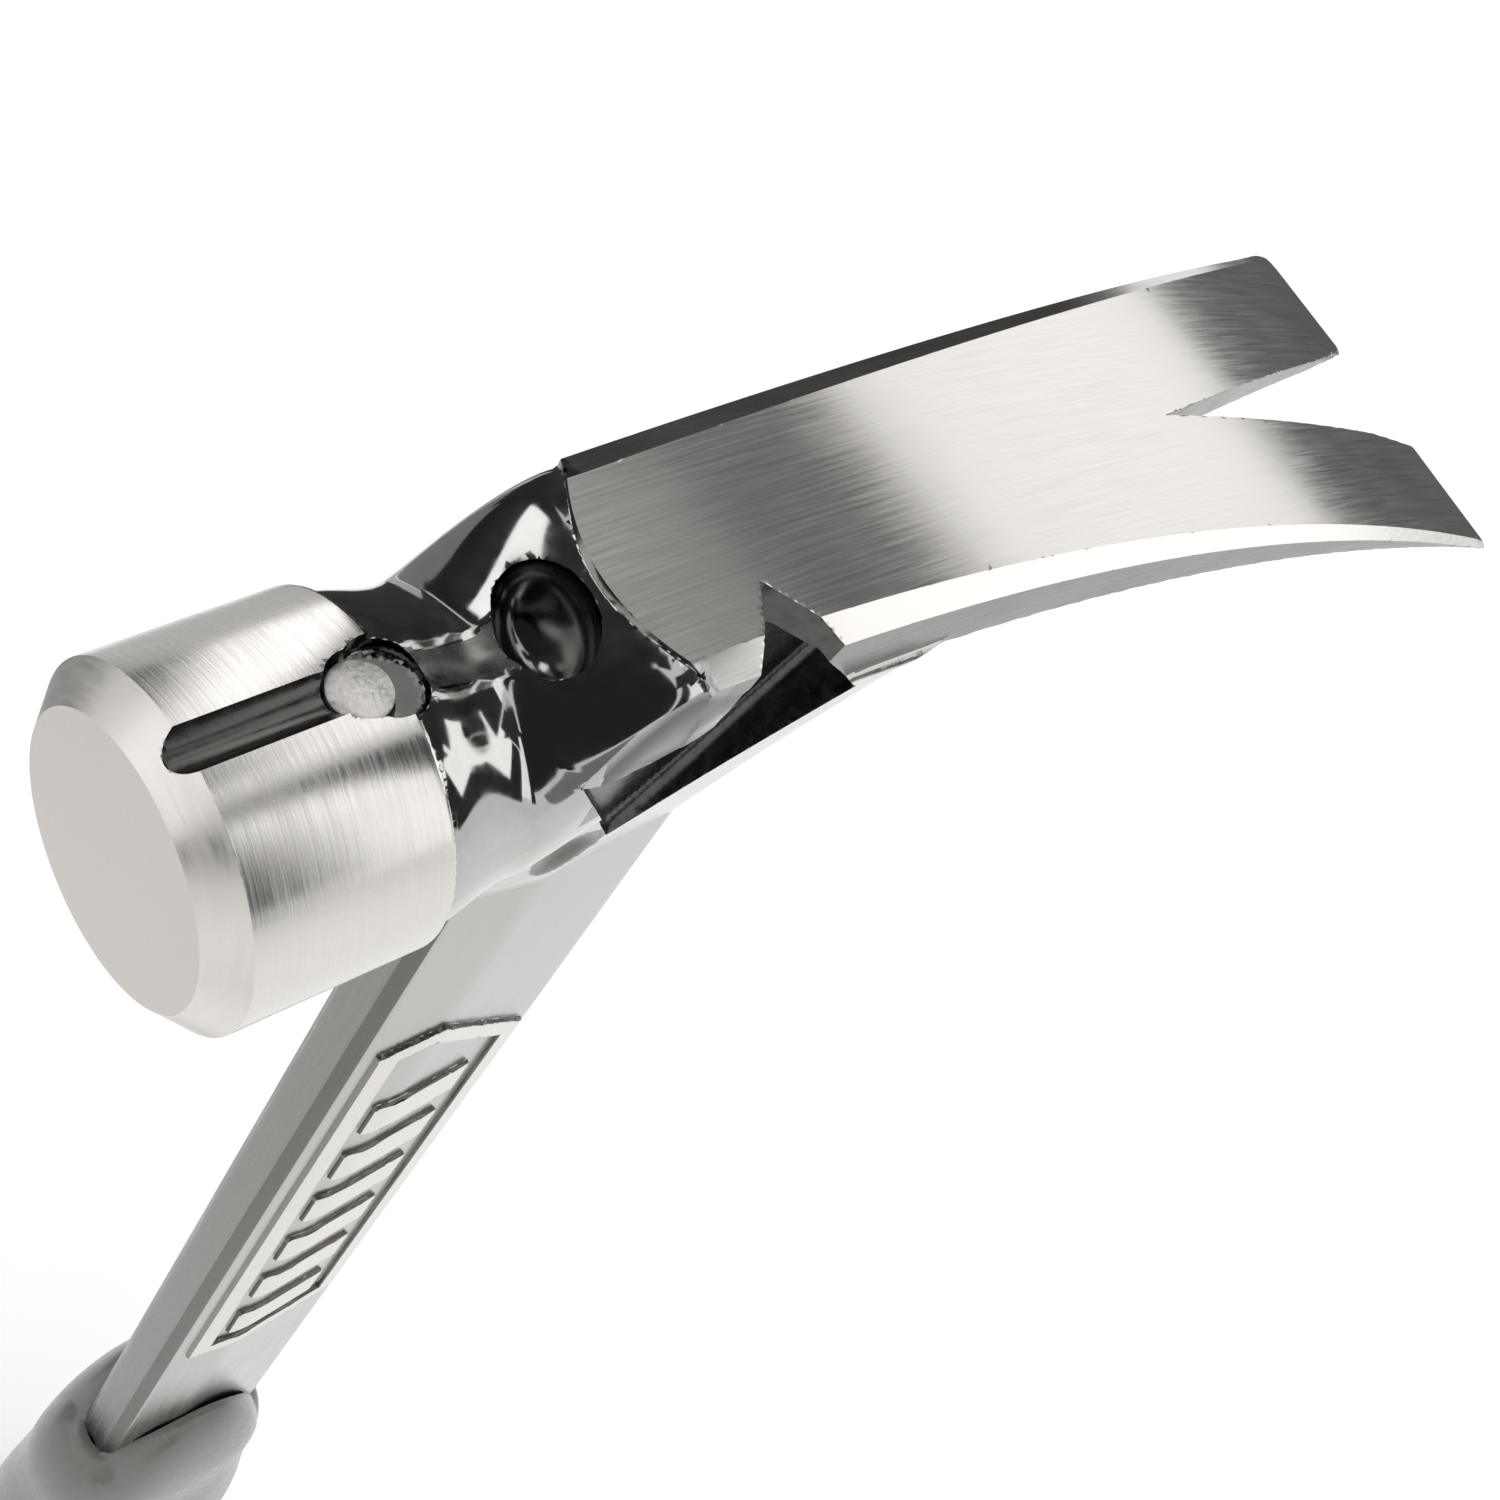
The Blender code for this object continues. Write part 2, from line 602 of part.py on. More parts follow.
def make_magnet():
    top = at_head(MAGNET_X, 0.0, MAGNET_TOP)
    bottom = at_head(MAGNET_X, 0.0, MAGNET_TOP - MAGNET_THICKNESS)
    magnet = cylinder("nail_magnet", bottom, top, MAGNET_RADIUS, HOLE_SEGMENTS, parts)
    bevel(magnet, MAGNET_EDGE, 2)
    shade(magnet)
    material(magnet, "nickel_magnet", (0.66, 0.65, 0.63), 1.0, 0.4)


def grip_ring(z, front, rear, half_width, hang=0.0):
    """Rounded section of the grip; hang bends the ring along the collar's curve."""
    centre = (front + rear) / 2
    half_depth = (front - rear) / 2
    ring = []
    for index in range(GRIP_POINTS):
        angle = 2.0 * math.pi * index / GRIP_POINTS
        x = centre + half_depth * rounded(math.cos(angle), GRIP_SQUARENESS)
        y = half_width * rounded(math.sin(angle), GRIP_SQUARENESS)
        reach = min(1.0, max(-1.0, x / GRIP_COLLAR_SPAN))
        curve = GRIP_COLLAR_TILT * reach * GRIP_COLLAR_SPAN - GRIP_COLLAR_DROP * reach * reach
        ring.append(at_head(x, y, z + hang * curve))
    return ring


def make_core():
    """Hard core: a sleeve round the tang on a flat butt plate, with plugs through the tang's holes."""
    top = SHANK_END - GAP
    butt = -POLL_AXIS_Z
    core = loft("grip_core", [
        grip_ring(butt, BUTT_FRONT_X - BUTT_EDGE, BUTT_REAR_X + BUTT_EDGE, BUTT_HALF_WIDTH - BUTT_EDGE),
        grip_ring(butt + BUTT_EDGE, BUTT_FRONT_X, BUTT_REAR_X, BUTT_HALF_WIDTH),
        grip_ring(butt + BUTT_THICKNESS, BUTT_FRONT_X, BUTT_REAR_X, BUTT_HALF_WIDTH),
    ], parts)
    stem = tang_box("core_stem", GAP + CORE_WALL, top, butt + BUTT_THICKNESS / 2, cutters)
    bevel(stem, CORE_EDGE, 2)
    boolean(core, stem, "UNION")
    boolean(core, tang_box("tang_room", GAP, top + OVERSHOOT, TANG_END - GAP, cutters), "DIFFERENCE")
    for plug in tang_bars("core_plug", TANG_HOLE_RADIUS - GAP, TANG_HALF_WIDTH + CORE_WALL / 2):
        boolean(core, plug, "UNION")
    shade(core)
    material(core, "hard_core_plastic", (0.03, 0.03, 0.03), 0.0, 0.45)


def make_sleeve():
    """Soft sleeve from the collar to the butt plate, hollow for the shank and the core."""
    butt = -POLL_AXIS_Z + BUTT_THICKNESS + GAP
    stations = [
        (butt, BUTT_FRONT_X, BUTT_REAR_X, BUTT_HALF_WIDTH, 0.0),
        (GRIP_WAIST_Z, GRIP_WAIST_FRONT_X, GRIP_WAIST_REAR_X, GRIP_WAIST_HALF_WIDTH, 0.0),
        (GRIP_PALM_Z, GRIP_PALM_FRONT_X, GRIP_PALM_REAR_X, GRIP_PALM_HALF_WIDTH, 0.0),
        (GRIP_SHOULDER_Z, GRIP_SHOULDER_FRONT_X, GRIP_SHOULDER_REAR_X, GRIP_SHOULDER_HALF_WIDTH, GRIP_SHOULDER_HANG),
    ]
    rings = [grip_ring(*stations[0])]
    for before, after in zip(stations, stations[1:]):
        for step in range(1, GRIP_STEPS + 1):
            share = step / GRIP_STEPS
            z = blend(before[0], after[0], share)
            sizes = [blend(low, high, ease(share)) for low, high in zip(before[1:], after[1:])]
            rings.append(grip_ring(z, *sizes))
    lip_front = SHANK_FRONT_X + GAP + GRIP_LIP
    lip_rear = SHANK_REAR_X - GAP - GRIP_LIP
    lip_half = SHANK_HALF_WIDTH + GAP + GRIP_LIP
    for step in range(1, GRIP_STEPS + 1):
        angle = math.pi / 2 * step / GRIP_STEPS
        out = math.cos(angle)
        rise = math.sin(angle)
        rings.append(grip_ring(
            blend(GRIP_SHOULDER_Z, GRIP_CROWN, rise),
            blend(lip_front, GRIP_SHOULDER_FRONT_X, out),
            blend(lip_rear, GRIP_SHOULDER_REAR_X, out),
            blend(lip_half, GRIP_SHOULDER_HALF_WIDTH, out),
            blend(GRIP_SHOULDER_HANG, 1.0, rise),
        ))
    rings.append(grip_ring(
        GRIP_CROWN + OVERSHOOT,
        SHANK_FRONT_X * GRIP_PLUG_SHARE,
        SHANK_REAR_X * GRIP_PLUG_SHARE,
        SHANK_HALF_WIDTH * GRIP_PLUG_SHARE,
    ))
    sleeve = loft("grip_sleeve", rings, parts)
    room = loft("shank_room", [
        straight_ring(SHANK_END - GAP, GAP),
        straight_ring(GRIP_CROWN + GRIP_COLLAR_DROP, GAP),
    ], cutters)
    boolean(sleeve, room, "DIFFERENCE")
    stem_room = tang_box("stem_room", CORE_WALL + 2.0 * GAP, SHANK_END, butt - OVERSHOOT, cutters)
    boolean(sleeve, stem_room, "DIFFERENCE")
    shade(sleeve)
    material(sleeve, "soft_grip", (0.10, 0.10, 0.095), 0.0, 0.4)


make_forging()
make_magnet()
make_core()
make_sleeve()
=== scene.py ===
"""Straight claw hammer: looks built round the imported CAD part."""
import math

import bpy
import numpy as np
from mathutils import Matrix, Vector


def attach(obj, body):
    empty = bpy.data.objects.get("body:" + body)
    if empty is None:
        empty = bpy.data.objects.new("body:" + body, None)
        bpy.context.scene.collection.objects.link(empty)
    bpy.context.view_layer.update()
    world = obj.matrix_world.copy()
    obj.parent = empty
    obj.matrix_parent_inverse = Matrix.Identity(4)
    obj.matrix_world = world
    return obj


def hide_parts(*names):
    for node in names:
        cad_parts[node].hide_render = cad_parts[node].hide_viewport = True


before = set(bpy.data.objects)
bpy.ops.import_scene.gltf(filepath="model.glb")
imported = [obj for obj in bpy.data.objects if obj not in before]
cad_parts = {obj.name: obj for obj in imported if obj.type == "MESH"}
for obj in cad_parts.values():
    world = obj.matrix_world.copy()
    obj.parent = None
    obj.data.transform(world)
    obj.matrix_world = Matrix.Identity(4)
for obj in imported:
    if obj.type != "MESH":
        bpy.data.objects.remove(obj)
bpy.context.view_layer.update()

MM = 0.001
POLL_Z = 330.0  # height of the poll axis, millimetres; shapes below are in millimetres from that axis
OVERLAP = 1.0  # how far a form runs into the next one

# Poll
POLL_RADIUS = 14.3
FACE_X = 50.7
FACE_RADIUS = 11.5
FACE_CROWN = 0.35
CHAMFER = 2.6
NECK_X = 31.2
WAIST_X = 23.0
POLL_ROUND = 0.3
POLL_JOIN = 0.4

# Neck, from under the claw to the poll: place, half width, top, bottom and roundness of the upper half
NECK = [
    (-6.0, 6.0, 11.0, -3.0, 5.0),
    (11.0, 11.4, 16.0, -11.0, 7.0),
    (WAIST_X, 12.2, 11.1, -11.6, 2.0),
    (NECK_X, 13.5, 13.4, -13.5, 2.0),
]
ELLIPSE = 2.0  # roundness of the lower half
NECK_JOIN = 3.0

# Claw
ROOT_X = 9.8
ROOT_BULGE = 4.0
TIP_X = -101.0
TOP_Z = 16.26
TOP_SLOPE = 0.034
TOP_RADIUS = 248.0
ROOT_HALF = 11.0
FLARE = 0.0137
FLARE_RADIUS = 790.0
DRIFT = 0.6  # how far the tips' middle line leans to the far side
BEVEL_WIDTH = 2.5
BEVEL_DROP = 1.5
BEVEL_SHRINK = 0.56  # share of the bevel that is gone at the tips
ROOT_THICK = 9.2
TIP_THICK = 0.6
TAPER_POWER = 1.4
SIDE_DRAFT = 0.6
KEEL = 0.12  # bulge of the underside, as a share of the thickness
KEEL_ROUND = 0.25
TIP_SKEW = 0.07
TIP_ROUND = (0.8, 3.2)  # corners on the near and the far side
CLAW_JOIN = (1.6, 0.15)  # rounding where the claw meets the neck, low down and at the top
CLAW_JOIN_Z = 10.0
CLAW_JOIN_TALL = 3.5

# Nail slot
SLOT_X = -55.0
SLOT_TAPER = 0.128
SLOT_DRAFT = -0.06
SLOT_RUN_IN = 8.0
SLOT_STEEP = 0.98  # brings the tapered slot's field close to a distance
SLOT_ROUND = (1.2, 0.15)  # rounding of its edges, at the tips and further in
SLOT_ROUND_RUN = (1.0, 9.0)

# Nail seat, magnet and oval pocket
GROOVE_R = 1.9
GROOVE_DEEP = 1.4
GROOVE_Z = POLL_RADIUS - GROOVE_DEEP + GROOVE_R
MAGNET_X = 33.7
MAGNET_R = 2.6
MAGNET_TOP = 13.0
MAGNET_DEEP = 3.2
MAGNET_GAP = 0.3
MAGNET_EDGE = 0.25
SEAT_X = 31.7
SEAT_R = 3.5
SEAT_Z = 11.6
SEAT_ROUND = 0.5
RUNNEL_R = 2.6
RUNNEL_DEEP = 0.6
POCKET = (17.0, 0.0, 11.0)
POCKET_SIZE = (3.9, 5.35, 5.4)
POCKET_SCALE = 4.4

# Side notch and recess, as corners in x and z
NOTCH_X = 1.6
NOTCH_Y = 4.4
NOTCH_Z = 9.6
NOTCH_FRONT = 0.61
NOTCH_REAR = 0.66
NOTCH_ROUND = 0.5
RECESS_Y = 5.5
RECESS_ROUND = 1.6
RECESS = [(-9.5, 4.0), (-2.2, 12.2), (5.6, 12.2), (7.2, 8.4), (19.4, 7.4), (11.3, -5.7), (2.6, -20.4)]

# Scoop at the foot of the recess
SCOOP = (5.6, 8.2, -24.0)
SCOOP_SIZE = (3.0, 3.4, 6.4)
SCOOP_SCALE = 2.4

# Shank and web
SHANK_FRONT = 13.3
SHANK_REAR = -12.4
SHANK_HALF = 4.6
SHANK_SHOULDER = 3.6
SHANK_ROUND = (0.25, 1.6)  # rounding between the facets, on the shank and at the top of the web
FLAT_ROUND = 0.2
FRONT_HALF = 2.06
FRONT_FACET = (1.1, 3.4)  # how far behind the front the facet ends, and the half width there
REAR_FACET = 0.9
REAR_HALF = 2.6
RIDGE_X = 4.0
SHANK_END = -216.0
WEB_FOOT = -31.0
WEB_TOP = 6.0
WEB_HALF = 11.4
WEB_FRONT = 21.0
WEB_REAR = -19.0
WEB_SHOULDER = 11.6
WEB_POWER = 2.2

# Panel on each side of the shank
PANEL = [(10.3, -155.0), (10.3, -65.0), (4.0, -61.5), (-10.4, -74.5), (-10.4, -155.0)]
PANEL_RIM = 2.6
PANEL_RISE = 0.5
PANEL_ROUND = 0.3
PANEL_JOIN = 0.25
BAR_COUNT = 6
BAR_HALF = (6.0, 3.5)
BAR_X = 0.4
BAR_ROUND = 0.8

# Tang
TANG_X = (-9.0, 9.5)
TANG_HALF = 3.1
TANG_ROUND = 0.4
TANG_END = -321.0
TANG_HOLES = (-236.0, -268.0, -300.0)
TANG_HOLE_R = 4.0


def smooth_max(a, b, k):
    h = np.clip(0.5 + 0.5 * (a - b) / k, 0.0, 1.0)
    return b + (a - b) * h + k * h * (1.0 - h)


def smooth_min(a, b, k):
    return -smooth_max(-a, -b, k)


def ease(t):
    t = np.clip(t, 0.0, 1.0)
    return t * t * (3.0 - 2.0 * t)


def mix(a, b, t):
    return a + (b - a) * t


def polygon(corners, x, z):
    """Signed distance to a closed outline."""
    best = np.full(x.shape, 1e9)
    inside = np.zeros(x.shape, bool)
    for (ax, az), (bx, bz) in zip(corners, corners[1:] + corners[:1]):
        ex, ez = bx - ax, bz - az
        wx, wz = x - ax, z - az
        t = np.clip((wx * ex + wz * ez) / (ex * ex + ez * ez), 0.0, 1.0)
        best = np.minimum(best, (wx - ex * t) ** 2 + (wz - ez * t) ** 2)
        cross = (az > z) != (bz > z)
        with np.errstate(divide="ignore", invalid="ignore"):
            hit = x < ex * (z - az) / (ez if ez else 1e-9) + ax
        inside ^= cross & hit
    return np.sqrt(best) * np.where(inside, -1.0, 1.0)


def ellipsoid(place, centre, size, scale):
    """Rough distance to an ellipsoid; scale turns its ratio into about millimetres."""
    q = np.sqrt(sum(((v - c) / s) ** 2 for v, c, s in zip(place, centre, size)))
    return (q - 1.0) * scale


def claw_top(x):
    run = np.maximum(ROOT_X - x, -ROOT_BULGE)
    return TOP_Z - TOP_SLOPE * run - np.maximum(run, 0.0) ** 2 / (2.0 * TOP_RADIUS)


def poll(x, y, z):
    r = np.hypot(y, z)
    face = x - (FACE_X - FACE_CROWN * (r / FACE_RADIUS) ** 2)
    edge = FACE_X - FACE_CROWN
    rise = POLL_RADIUS - FACE_RADIUS
    chamfer = ((x - edge) * rise + (r - FACE_RADIUS) * CHAMFER) / math.hypot(rise, CHAMFER)
    body = np.maximum(np.maximum(face, chamfer), r - POLL_RADIUS)
    return smooth_max(body, NECK_X - x, POLL_ROUND)


def neck_sizes(x):
    """Half width, top, bottom and roundness along the neck."""
    sizes = [np.full(x.shape, size) for size in NECK[0][1:]]
    for low, high in zip(NECK, NECK[1:]):
        t = ease((x - low[0]) / (high[0] - low[0]))
        for i in range(4):
            sizes[i] = np.where(x > low[0], mix(low[i + 1], high[i + 1], t), sizes[i])
    return sizes


def neck(x, y, z):
    half, top, bottom, power = neck_sizes(x)
    centre = (top + bottom) / 2
    tall = (top - bottom) / 2
    power = np.where(z > centre, power, ELLIPSE)
    q = ((np.abs(y) / half) ** power + (np.abs(z - centre) / tall) ** power + 1e-9) ** (1.0 / power)
    body = (q - 1.0) * np.minimum(half, tall)
    return np.maximum(np.maximum(body, x - NECK_X - OVERLAP), NECK[0][0] - x)


def claw(x, y, z):
    run = np.maximum(ROOT_X - x, 0.0)
    share = np.clip(run / (ROOT_X - TIP_X), 0.0, 1.0)
    y = y + DRIFT * share ** 2
    ay = np.abs(y)
    top = claw_top(x)
    half = ROOT_HALF + FLARE * run + run * run / (2.0 * FLARE_RADIUS)
    lean = 1.0 - BEVEL_SHRINK * share
    thick = mix(ROOT_THICK, TIP_THICK, share ** TAPER_POWER)
    tilt = 1.0 / np.sqrt(1.0 + (TOP_SLOPE + run / TOP_RADIUS) ** 2)
    upper = (z - top) * tilt
    side = ay - half + SIDE_DRAFT * np.clip((top - z) / thick, 0.0, 1.0)
    width = BEVEL_WIDTH * lean
    drop = np.minimum(BEVEL_DROP * lean, thick / 2)
    bevel = ((ay - half + width) * drop + (z - top) * width) / np.hypot(width, drop)
    keel = KEEL * thick * (1.0 - (ay / half) ** 2)
    lower = (top - thick - keel - z) * tilt
    end = TIP_X + np.maximum(0.0, TIP_SKEW * y) - x
    plan = smooth_max(side, end, np.where(y > 0.0, *TIP_ROUND))
    front = x - ROOT_X - ROOT_BULGE * (1.0 - (y / ROOT_HALF) ** 2)
    body = smooth_max(np.maximum(plan, bevel), lower, KEEL_ROUND)
    return np.maximum(np.maximum(body, upper), front)


def shank(x, y, z):
    """Ten-sided shank that flares into the head through the web."""
    ay = np.abs(y)
    t = np.clip((z - WEB_FOOT) / (WEB_TOP - WEB_FOOT), 0.0, 1.0)
    front = mix(SHANK_FRONT, WEB_FRONT, t ** WEB_POWER)
    rear = mix(SHANK_REAR, WEB_REAR, t ** WEB_POWER)
    half = mix(SHANK_HALF, WEB_HALF, t)
    shoulder = mix(SHANK_SHOULDER, WEB_SHOULDER, t)
    s = half / SHANK_HALF
    b = shoulder / SHANK_SHOULDER
    points = [
        (front, FRONT_HALF * s),
        (front - FRONT_FACET[0] * s, FRONT_FACET[1] * s),
        (np.full(x.shape, RIDGE_X), half),
        (rear + REAR_FACET * b, shoulder),
        (rear, REAR_HALF * b),
    ]
    soft = mix(*SHANK_ROUND, t)
    body = smooth_max(x - front, rear - x, FLAT_ROUND)
    for (ax, aw), (bx, bw) in zip(points, points[1:]):
        nx, ny = bw - aw, ax - bx
        body = smooth_max(body, ((x - ax) * nx + (ay - aw) * ny) / np.hypot(nx, ny), soft)
    return np.maximum(np.maximum(body, z - WEB_TOP), SHANK_END - z)


def panel(x, z, skin):
    """Rim and bars that stand a little proud of the shank's skin, inside the panel's outline."""
    outline = polygon(PANEL, x, z)
    rim = np.maximum(outline, -(outline + PANEL_RIM))
    top = PANEL[3][1] - PANEL_RIM
    bottom = PANEL[0][1] + PANEL_RIM
    pitch = (top - bottom) / BAR_COUNT
    index = np.clip(np.floor((z - bottom) / pitch), 0, BAR_COUNT - 1)
    middle = bottom + (index + 0.5) * pitch
    bar = smooth_max(np.abs(x - BAR_X) - BAR_HALF[0], np.abs(z - middle) - BAR_HALF[1], BAR_ROUND)
    return smooth_max(np.minimum(rim, bar), skin - PANEL_RISE, PANEL_ROUND)


def tang(x, y, z):
    middle = (TANG_X[0] + TANG_X[1]) / 2
    body = smooth_max(np.abs(x - middle) - (TANG_X[1] - TANG_X[0]) / 2, np.abs(y) - TANG_HALF, TANG_ROUND)
    body = np.maximum(np.maximum(body, TANG_END - z), z - SHANK_END - OVERLAP)
    for hole in TANG_HOLES:
        body = np.maximum(body, TANG_HOLE_R - np.hypot(x - middle, z - hole))
    return body


def groove(x, y, z):
    return np.maximum(np.hypot(y, z - GROOVE_Z) - GROOVE_R, MAGNET_X - x)


def seat(x, y, z):
    floor = MAGNET_TOP - MAGNET_DEEP - MAGNET_GAP
    bore = np.maximum(np.hypot(x - MAGNET_X, y) - MAGNET_R - MAGNET_GAP, floor - z)
    head = smooth_max(np.hypot(x - SEAT_X, y) - SEAT_R, SEAT_Z - z, SEAT_ROUND)
    return np.minimum(bore, head)


def runnel(x, y, z):
    axis = neck_sizes(x)[1] + RUNNEL_R - RUNNEL_DEEP
    return np.maximum(np.hypot(y, z - axis) - RUNNEL_R, np.maximum(POCKET[0] - x, x - SEAT_X))


def pocket(x, y, z):
    return ellipsoid((x, y, z), POCKET, POCKET_SIZE, POCKET_SCALE)


def slot(x, y, z):
    run = SLOT_X - x
    half = SLOT_TAPER * run - SLOT_DRAFT * (claw_top(x) - z) * np.clip(run / SLOT_RUN_IN, 0.0, 1.0)
    middle = -DRIFT * np.clip((ROOT_X - x) / (ROOT_X - TIP_X), 0.0, 1.0) ** 2
    return np.maximum(np.abs(y - middle) - half, x - SLOT_X) * SLOT_STEEP


def notch(x, y, z):
    ahead = (x - NOTCH_X - NOTCH_FRONT * (y - NOTCH_Y)) / math.hypot(1.0, NOTCH_FRONT)
    behind = (NOTCH_X - NOTCH_REAR * (y - NOTCH_Y) - x) / math.hypot(1.0, NOTCH_REAR)
    return np.maximum(smooth_max(ahead, behind, NOTCH_ROUND), NOTCH_Z - z)


def recess(x, y, z):
    return smooth_max(polygon(RECESS, x, z), RECESS_Y - y, RECESS_ROUND)


def scoop(x, y, z):
    return ellipsoid((x, y, z), SCOOP, SCOOP_SIZE, SCOOP_SCALE)


# Cuts into the forging in the order they are made, each with the rounding of its edges
CUTS = ((groove, 0.1), (runnel, 0.8), (seat, 0.12), (pocket, 0.1), (recess, 0.12), (scoop, 0.5), (notch, 0.1))


def forging(p):
    x, y, z = p[:, 0], p[:, 1], p[:, 2]
    bar = shank(x, y, z)
    body = smooth_min(bar, neck(x, y, z), NECK_JOIN)
    join = mix(*CLAW_JOIN, ease((z - CLAW_JOIN_Z) / CLAW_JOIN_TALL))
    body = smooth_min(body, claw(x, y, z), join)
    body = np.maximum(body, np.where(x < ROOT_X + ROOT_BULGE + OVERLAP, z - claw_top(x), -OVERLAP))
    body = smooth_min(body, poll(x, y, z), POLL_JOIN)
    body = smooth_min(body, panel(x, z, bar), PANEL_JOIN)
    body = np.minimum(body, tang(x, y, z))
    for cut, soft in CUTS:
        body = smooth_max(body, -cut(x, y, z), soft)
    edge = np.interp(x, (TIP_X + SLOT_ROUND_RUN[0], TIP_X + SLOT_ROUND_RUN[1]), SLOT_ROUND)
    return smooth_max(body, -slot(x, y, z), edge)


def gradient(field, p, step=0.02):
    g = np.empty_like(p)
    for axis in range(3):
        shift = np.zeros(3)
        shift[axis] = step
        g[:, axis] = field(p + shift) - field(p - shift)
    return g / np.maximum(np.linalg.norm(g, axis=1, keepdims=True), 1e-12)


def in_chunks(field, p, size=1500000):
    return np.concatenate([field(p[i:i + size]) for i in range(0, len(p), size)])


# Contouring
FAR = 9.0  # stands for the field away from the surface, millimetres
CALM = 0.985  # a cell whose normals agree this well holds no crease
PULL = 0.01  # holds a vertex near the middle of its crossings
SLACK = 0.1  # how far a vertex may leave its cell, in cells
STEP = 0.2  # longest step onto the surface, in cells


def contour(field, low, high, pitch, stride=4, band=2.6):
    """Dual contouring of a field: one vertex in each cell that the surface crosses, on its creases and corners."""
    low = np.array(low, float)
    cells = np.ceil((np.array(high) - low) / (pitch * stride)).astype(int)
    shape = cells * stride + 1
    rough = np.stack(np.meshgrid(*[np.arange(n + 1) for n in cells], indexing="ij"), -1)
    values = in_chunks(field, low + rough.reshape(-1, 3) * pitch * stride).reshape(rough.shape[:3])
    near = np.abs(values) < band
    inside = values < 0
    corners = [(slice(a, a - 1 or None), slice(b, b - 1 or None), slice(c, c - 1 or None))
               for a in (0, 1) for b in (0, 1) for c in (0, 1)]
    count = sum(inside[c].astype(int) for c in corners)
    wanted = (sum(near[c].astype(int) for c in corners) > 0) | ((count > 0) & (count < 8))
    full = np.repeat(np.repeat(np.repeat(np.where(inside, -FAR, FAR), stride, 0), stride, 1), stride, 2)
    full = full[:shape[0], :shape[1], :shape[2]].copy()
    steps = np.stack(np.meshgrid(*[np.arange(stride + 1)] * 3, indexing="ij"), -1).reshape(-1, 3)
    index = (np.argwhere(wanted)[:, None, :] * stride + steps[None]).reshape(-1, 3)
    flat = np.unique(np.ravel_multi_index(index.T, full.shape))
    index = np.stack(np.unravel_index(flat, full.shape), 1)
    full.ravel()[flat] = in_chunks(field, low + index * pitch)

    # Crossings of the grid's edges, narrowed down three times, and the four cells round each
    inside = full < 0
    edge_points, quads = [], []
    for axis in range(3):
        a = [slice(None)] * 3
        b = [slice(None)] * 3
        a[axis] = slice(None, -1)
        b[axis] = slice(1, None)
        start = np.argwhere(inside[tuple(a)] != inside[tuple(b)])
        end = start.copy()
        end[:, axis] += 1
        va = full[tuple(start.T)]
        vb = full[tuple(end.T)]
        point = start.astype(float)
        lo, hi = np.zeros(len(start)), np.ones(len(start))
        share = va / (va - vb)
        for _ in range(3):
            point[:, axis] = start[:, axis] + share
            vm = in_chunks(field, low + point * pitch)
            same = (vm < 0) == (va < 0)
            lo, va = np.where(same, share, lo), np.where(same, vm, va)
            hi, vb = np.where(same, hi, share), np.where(same, vb, vm)
            share = lo + (hi - lo) * np.clip(va / np.where(va == vb, 1.0, va - vb), 0.0, 1.0)
        point[:, axis] = start[:, axis] + share
        u, v = (axis + 1) % 3, (axis + 2) % 3
        ring = []
        for du, dv in ((-1, -1), (0, -1), (0, 0), (-1, 0)):
            cell = start.copy()
            cell[:, u] += du
            cell[:, v] += dv
            ring.append(np.ravel_multi_index(cell.T, full.shape))
        ring = np.stack(ring, 1)
        outward = ~inside[tuple(start.T)]
        ring[outward] = ring[outward][:, ::-1]
        quads.append(ring)
        edge_points.append(low + point * pitch)
    quads = np.concatenate(quads)
    points = np.concatenate(edge_points)
    normals = gradient(field, points)

    # One vertex in each cell, where the planes through its crossings meet
    ids, compact = np.unique(quads, return_inverse=True)
    compact = compact.reshape(quads.shape)
    n = len(ids)
    owner = compact.ravel()
    p4 = np.repeat(points, 4, 0)
    n4 = np.repeat(normals, 4, 0)
    hits = np.bincount(owner, minlength=n).astype(float)

    def total(rows):
        return np.stack([np.bincount(owner, rows[:, i], n) for i in range(3)], 1)

    mass = total(p4) / hits[:, None]
    offset = p4 - mass[owner]
    d = (n4 * offset).sum(1)
    atb = total(n4 * d[:, None])
    ata = np.stack([total(n4[:, i:i + 1] * n4) for i in range(3)], 1)
    ata += np.eye(3) * PULL
    calm = (np.linalg.norm(total(n4), axis=1) / hits > CALM)[:, None]
    solved = mass + np.linalg.solve(ata, atb[:, :, None])[:, :, 0]
    cell_low = low + np.stack(np.unravel_index(ids, full.shape), 1) * pitch
    vertices = np.clip(solved, cell_low - SLACK * pitch, cell_low + (1.0 + SLACK) * pitch)
    for _ in range(2):
        g = gradient(field, vertices)
        f = np.clip(field(vertices), -STEP * pitch, STEP * pitch)
        vertices = np.where(calm, vertices - g * f[:, None], vertices)
    return vertices, compact


# Angles in degrees between the field's normal and the face's
CREASE = 8.0
ASTRAY = 16.0
BENT = 12.0
INWARD = 0.75  # how far a corner at a crease is pulled to the middle of its face
REACH = 0.03  # step of the field's slope at a corner, millimetres


def apart(a, b, degrees):
    return (a * b).sum(1) < math.cos(math.radians(degrees))


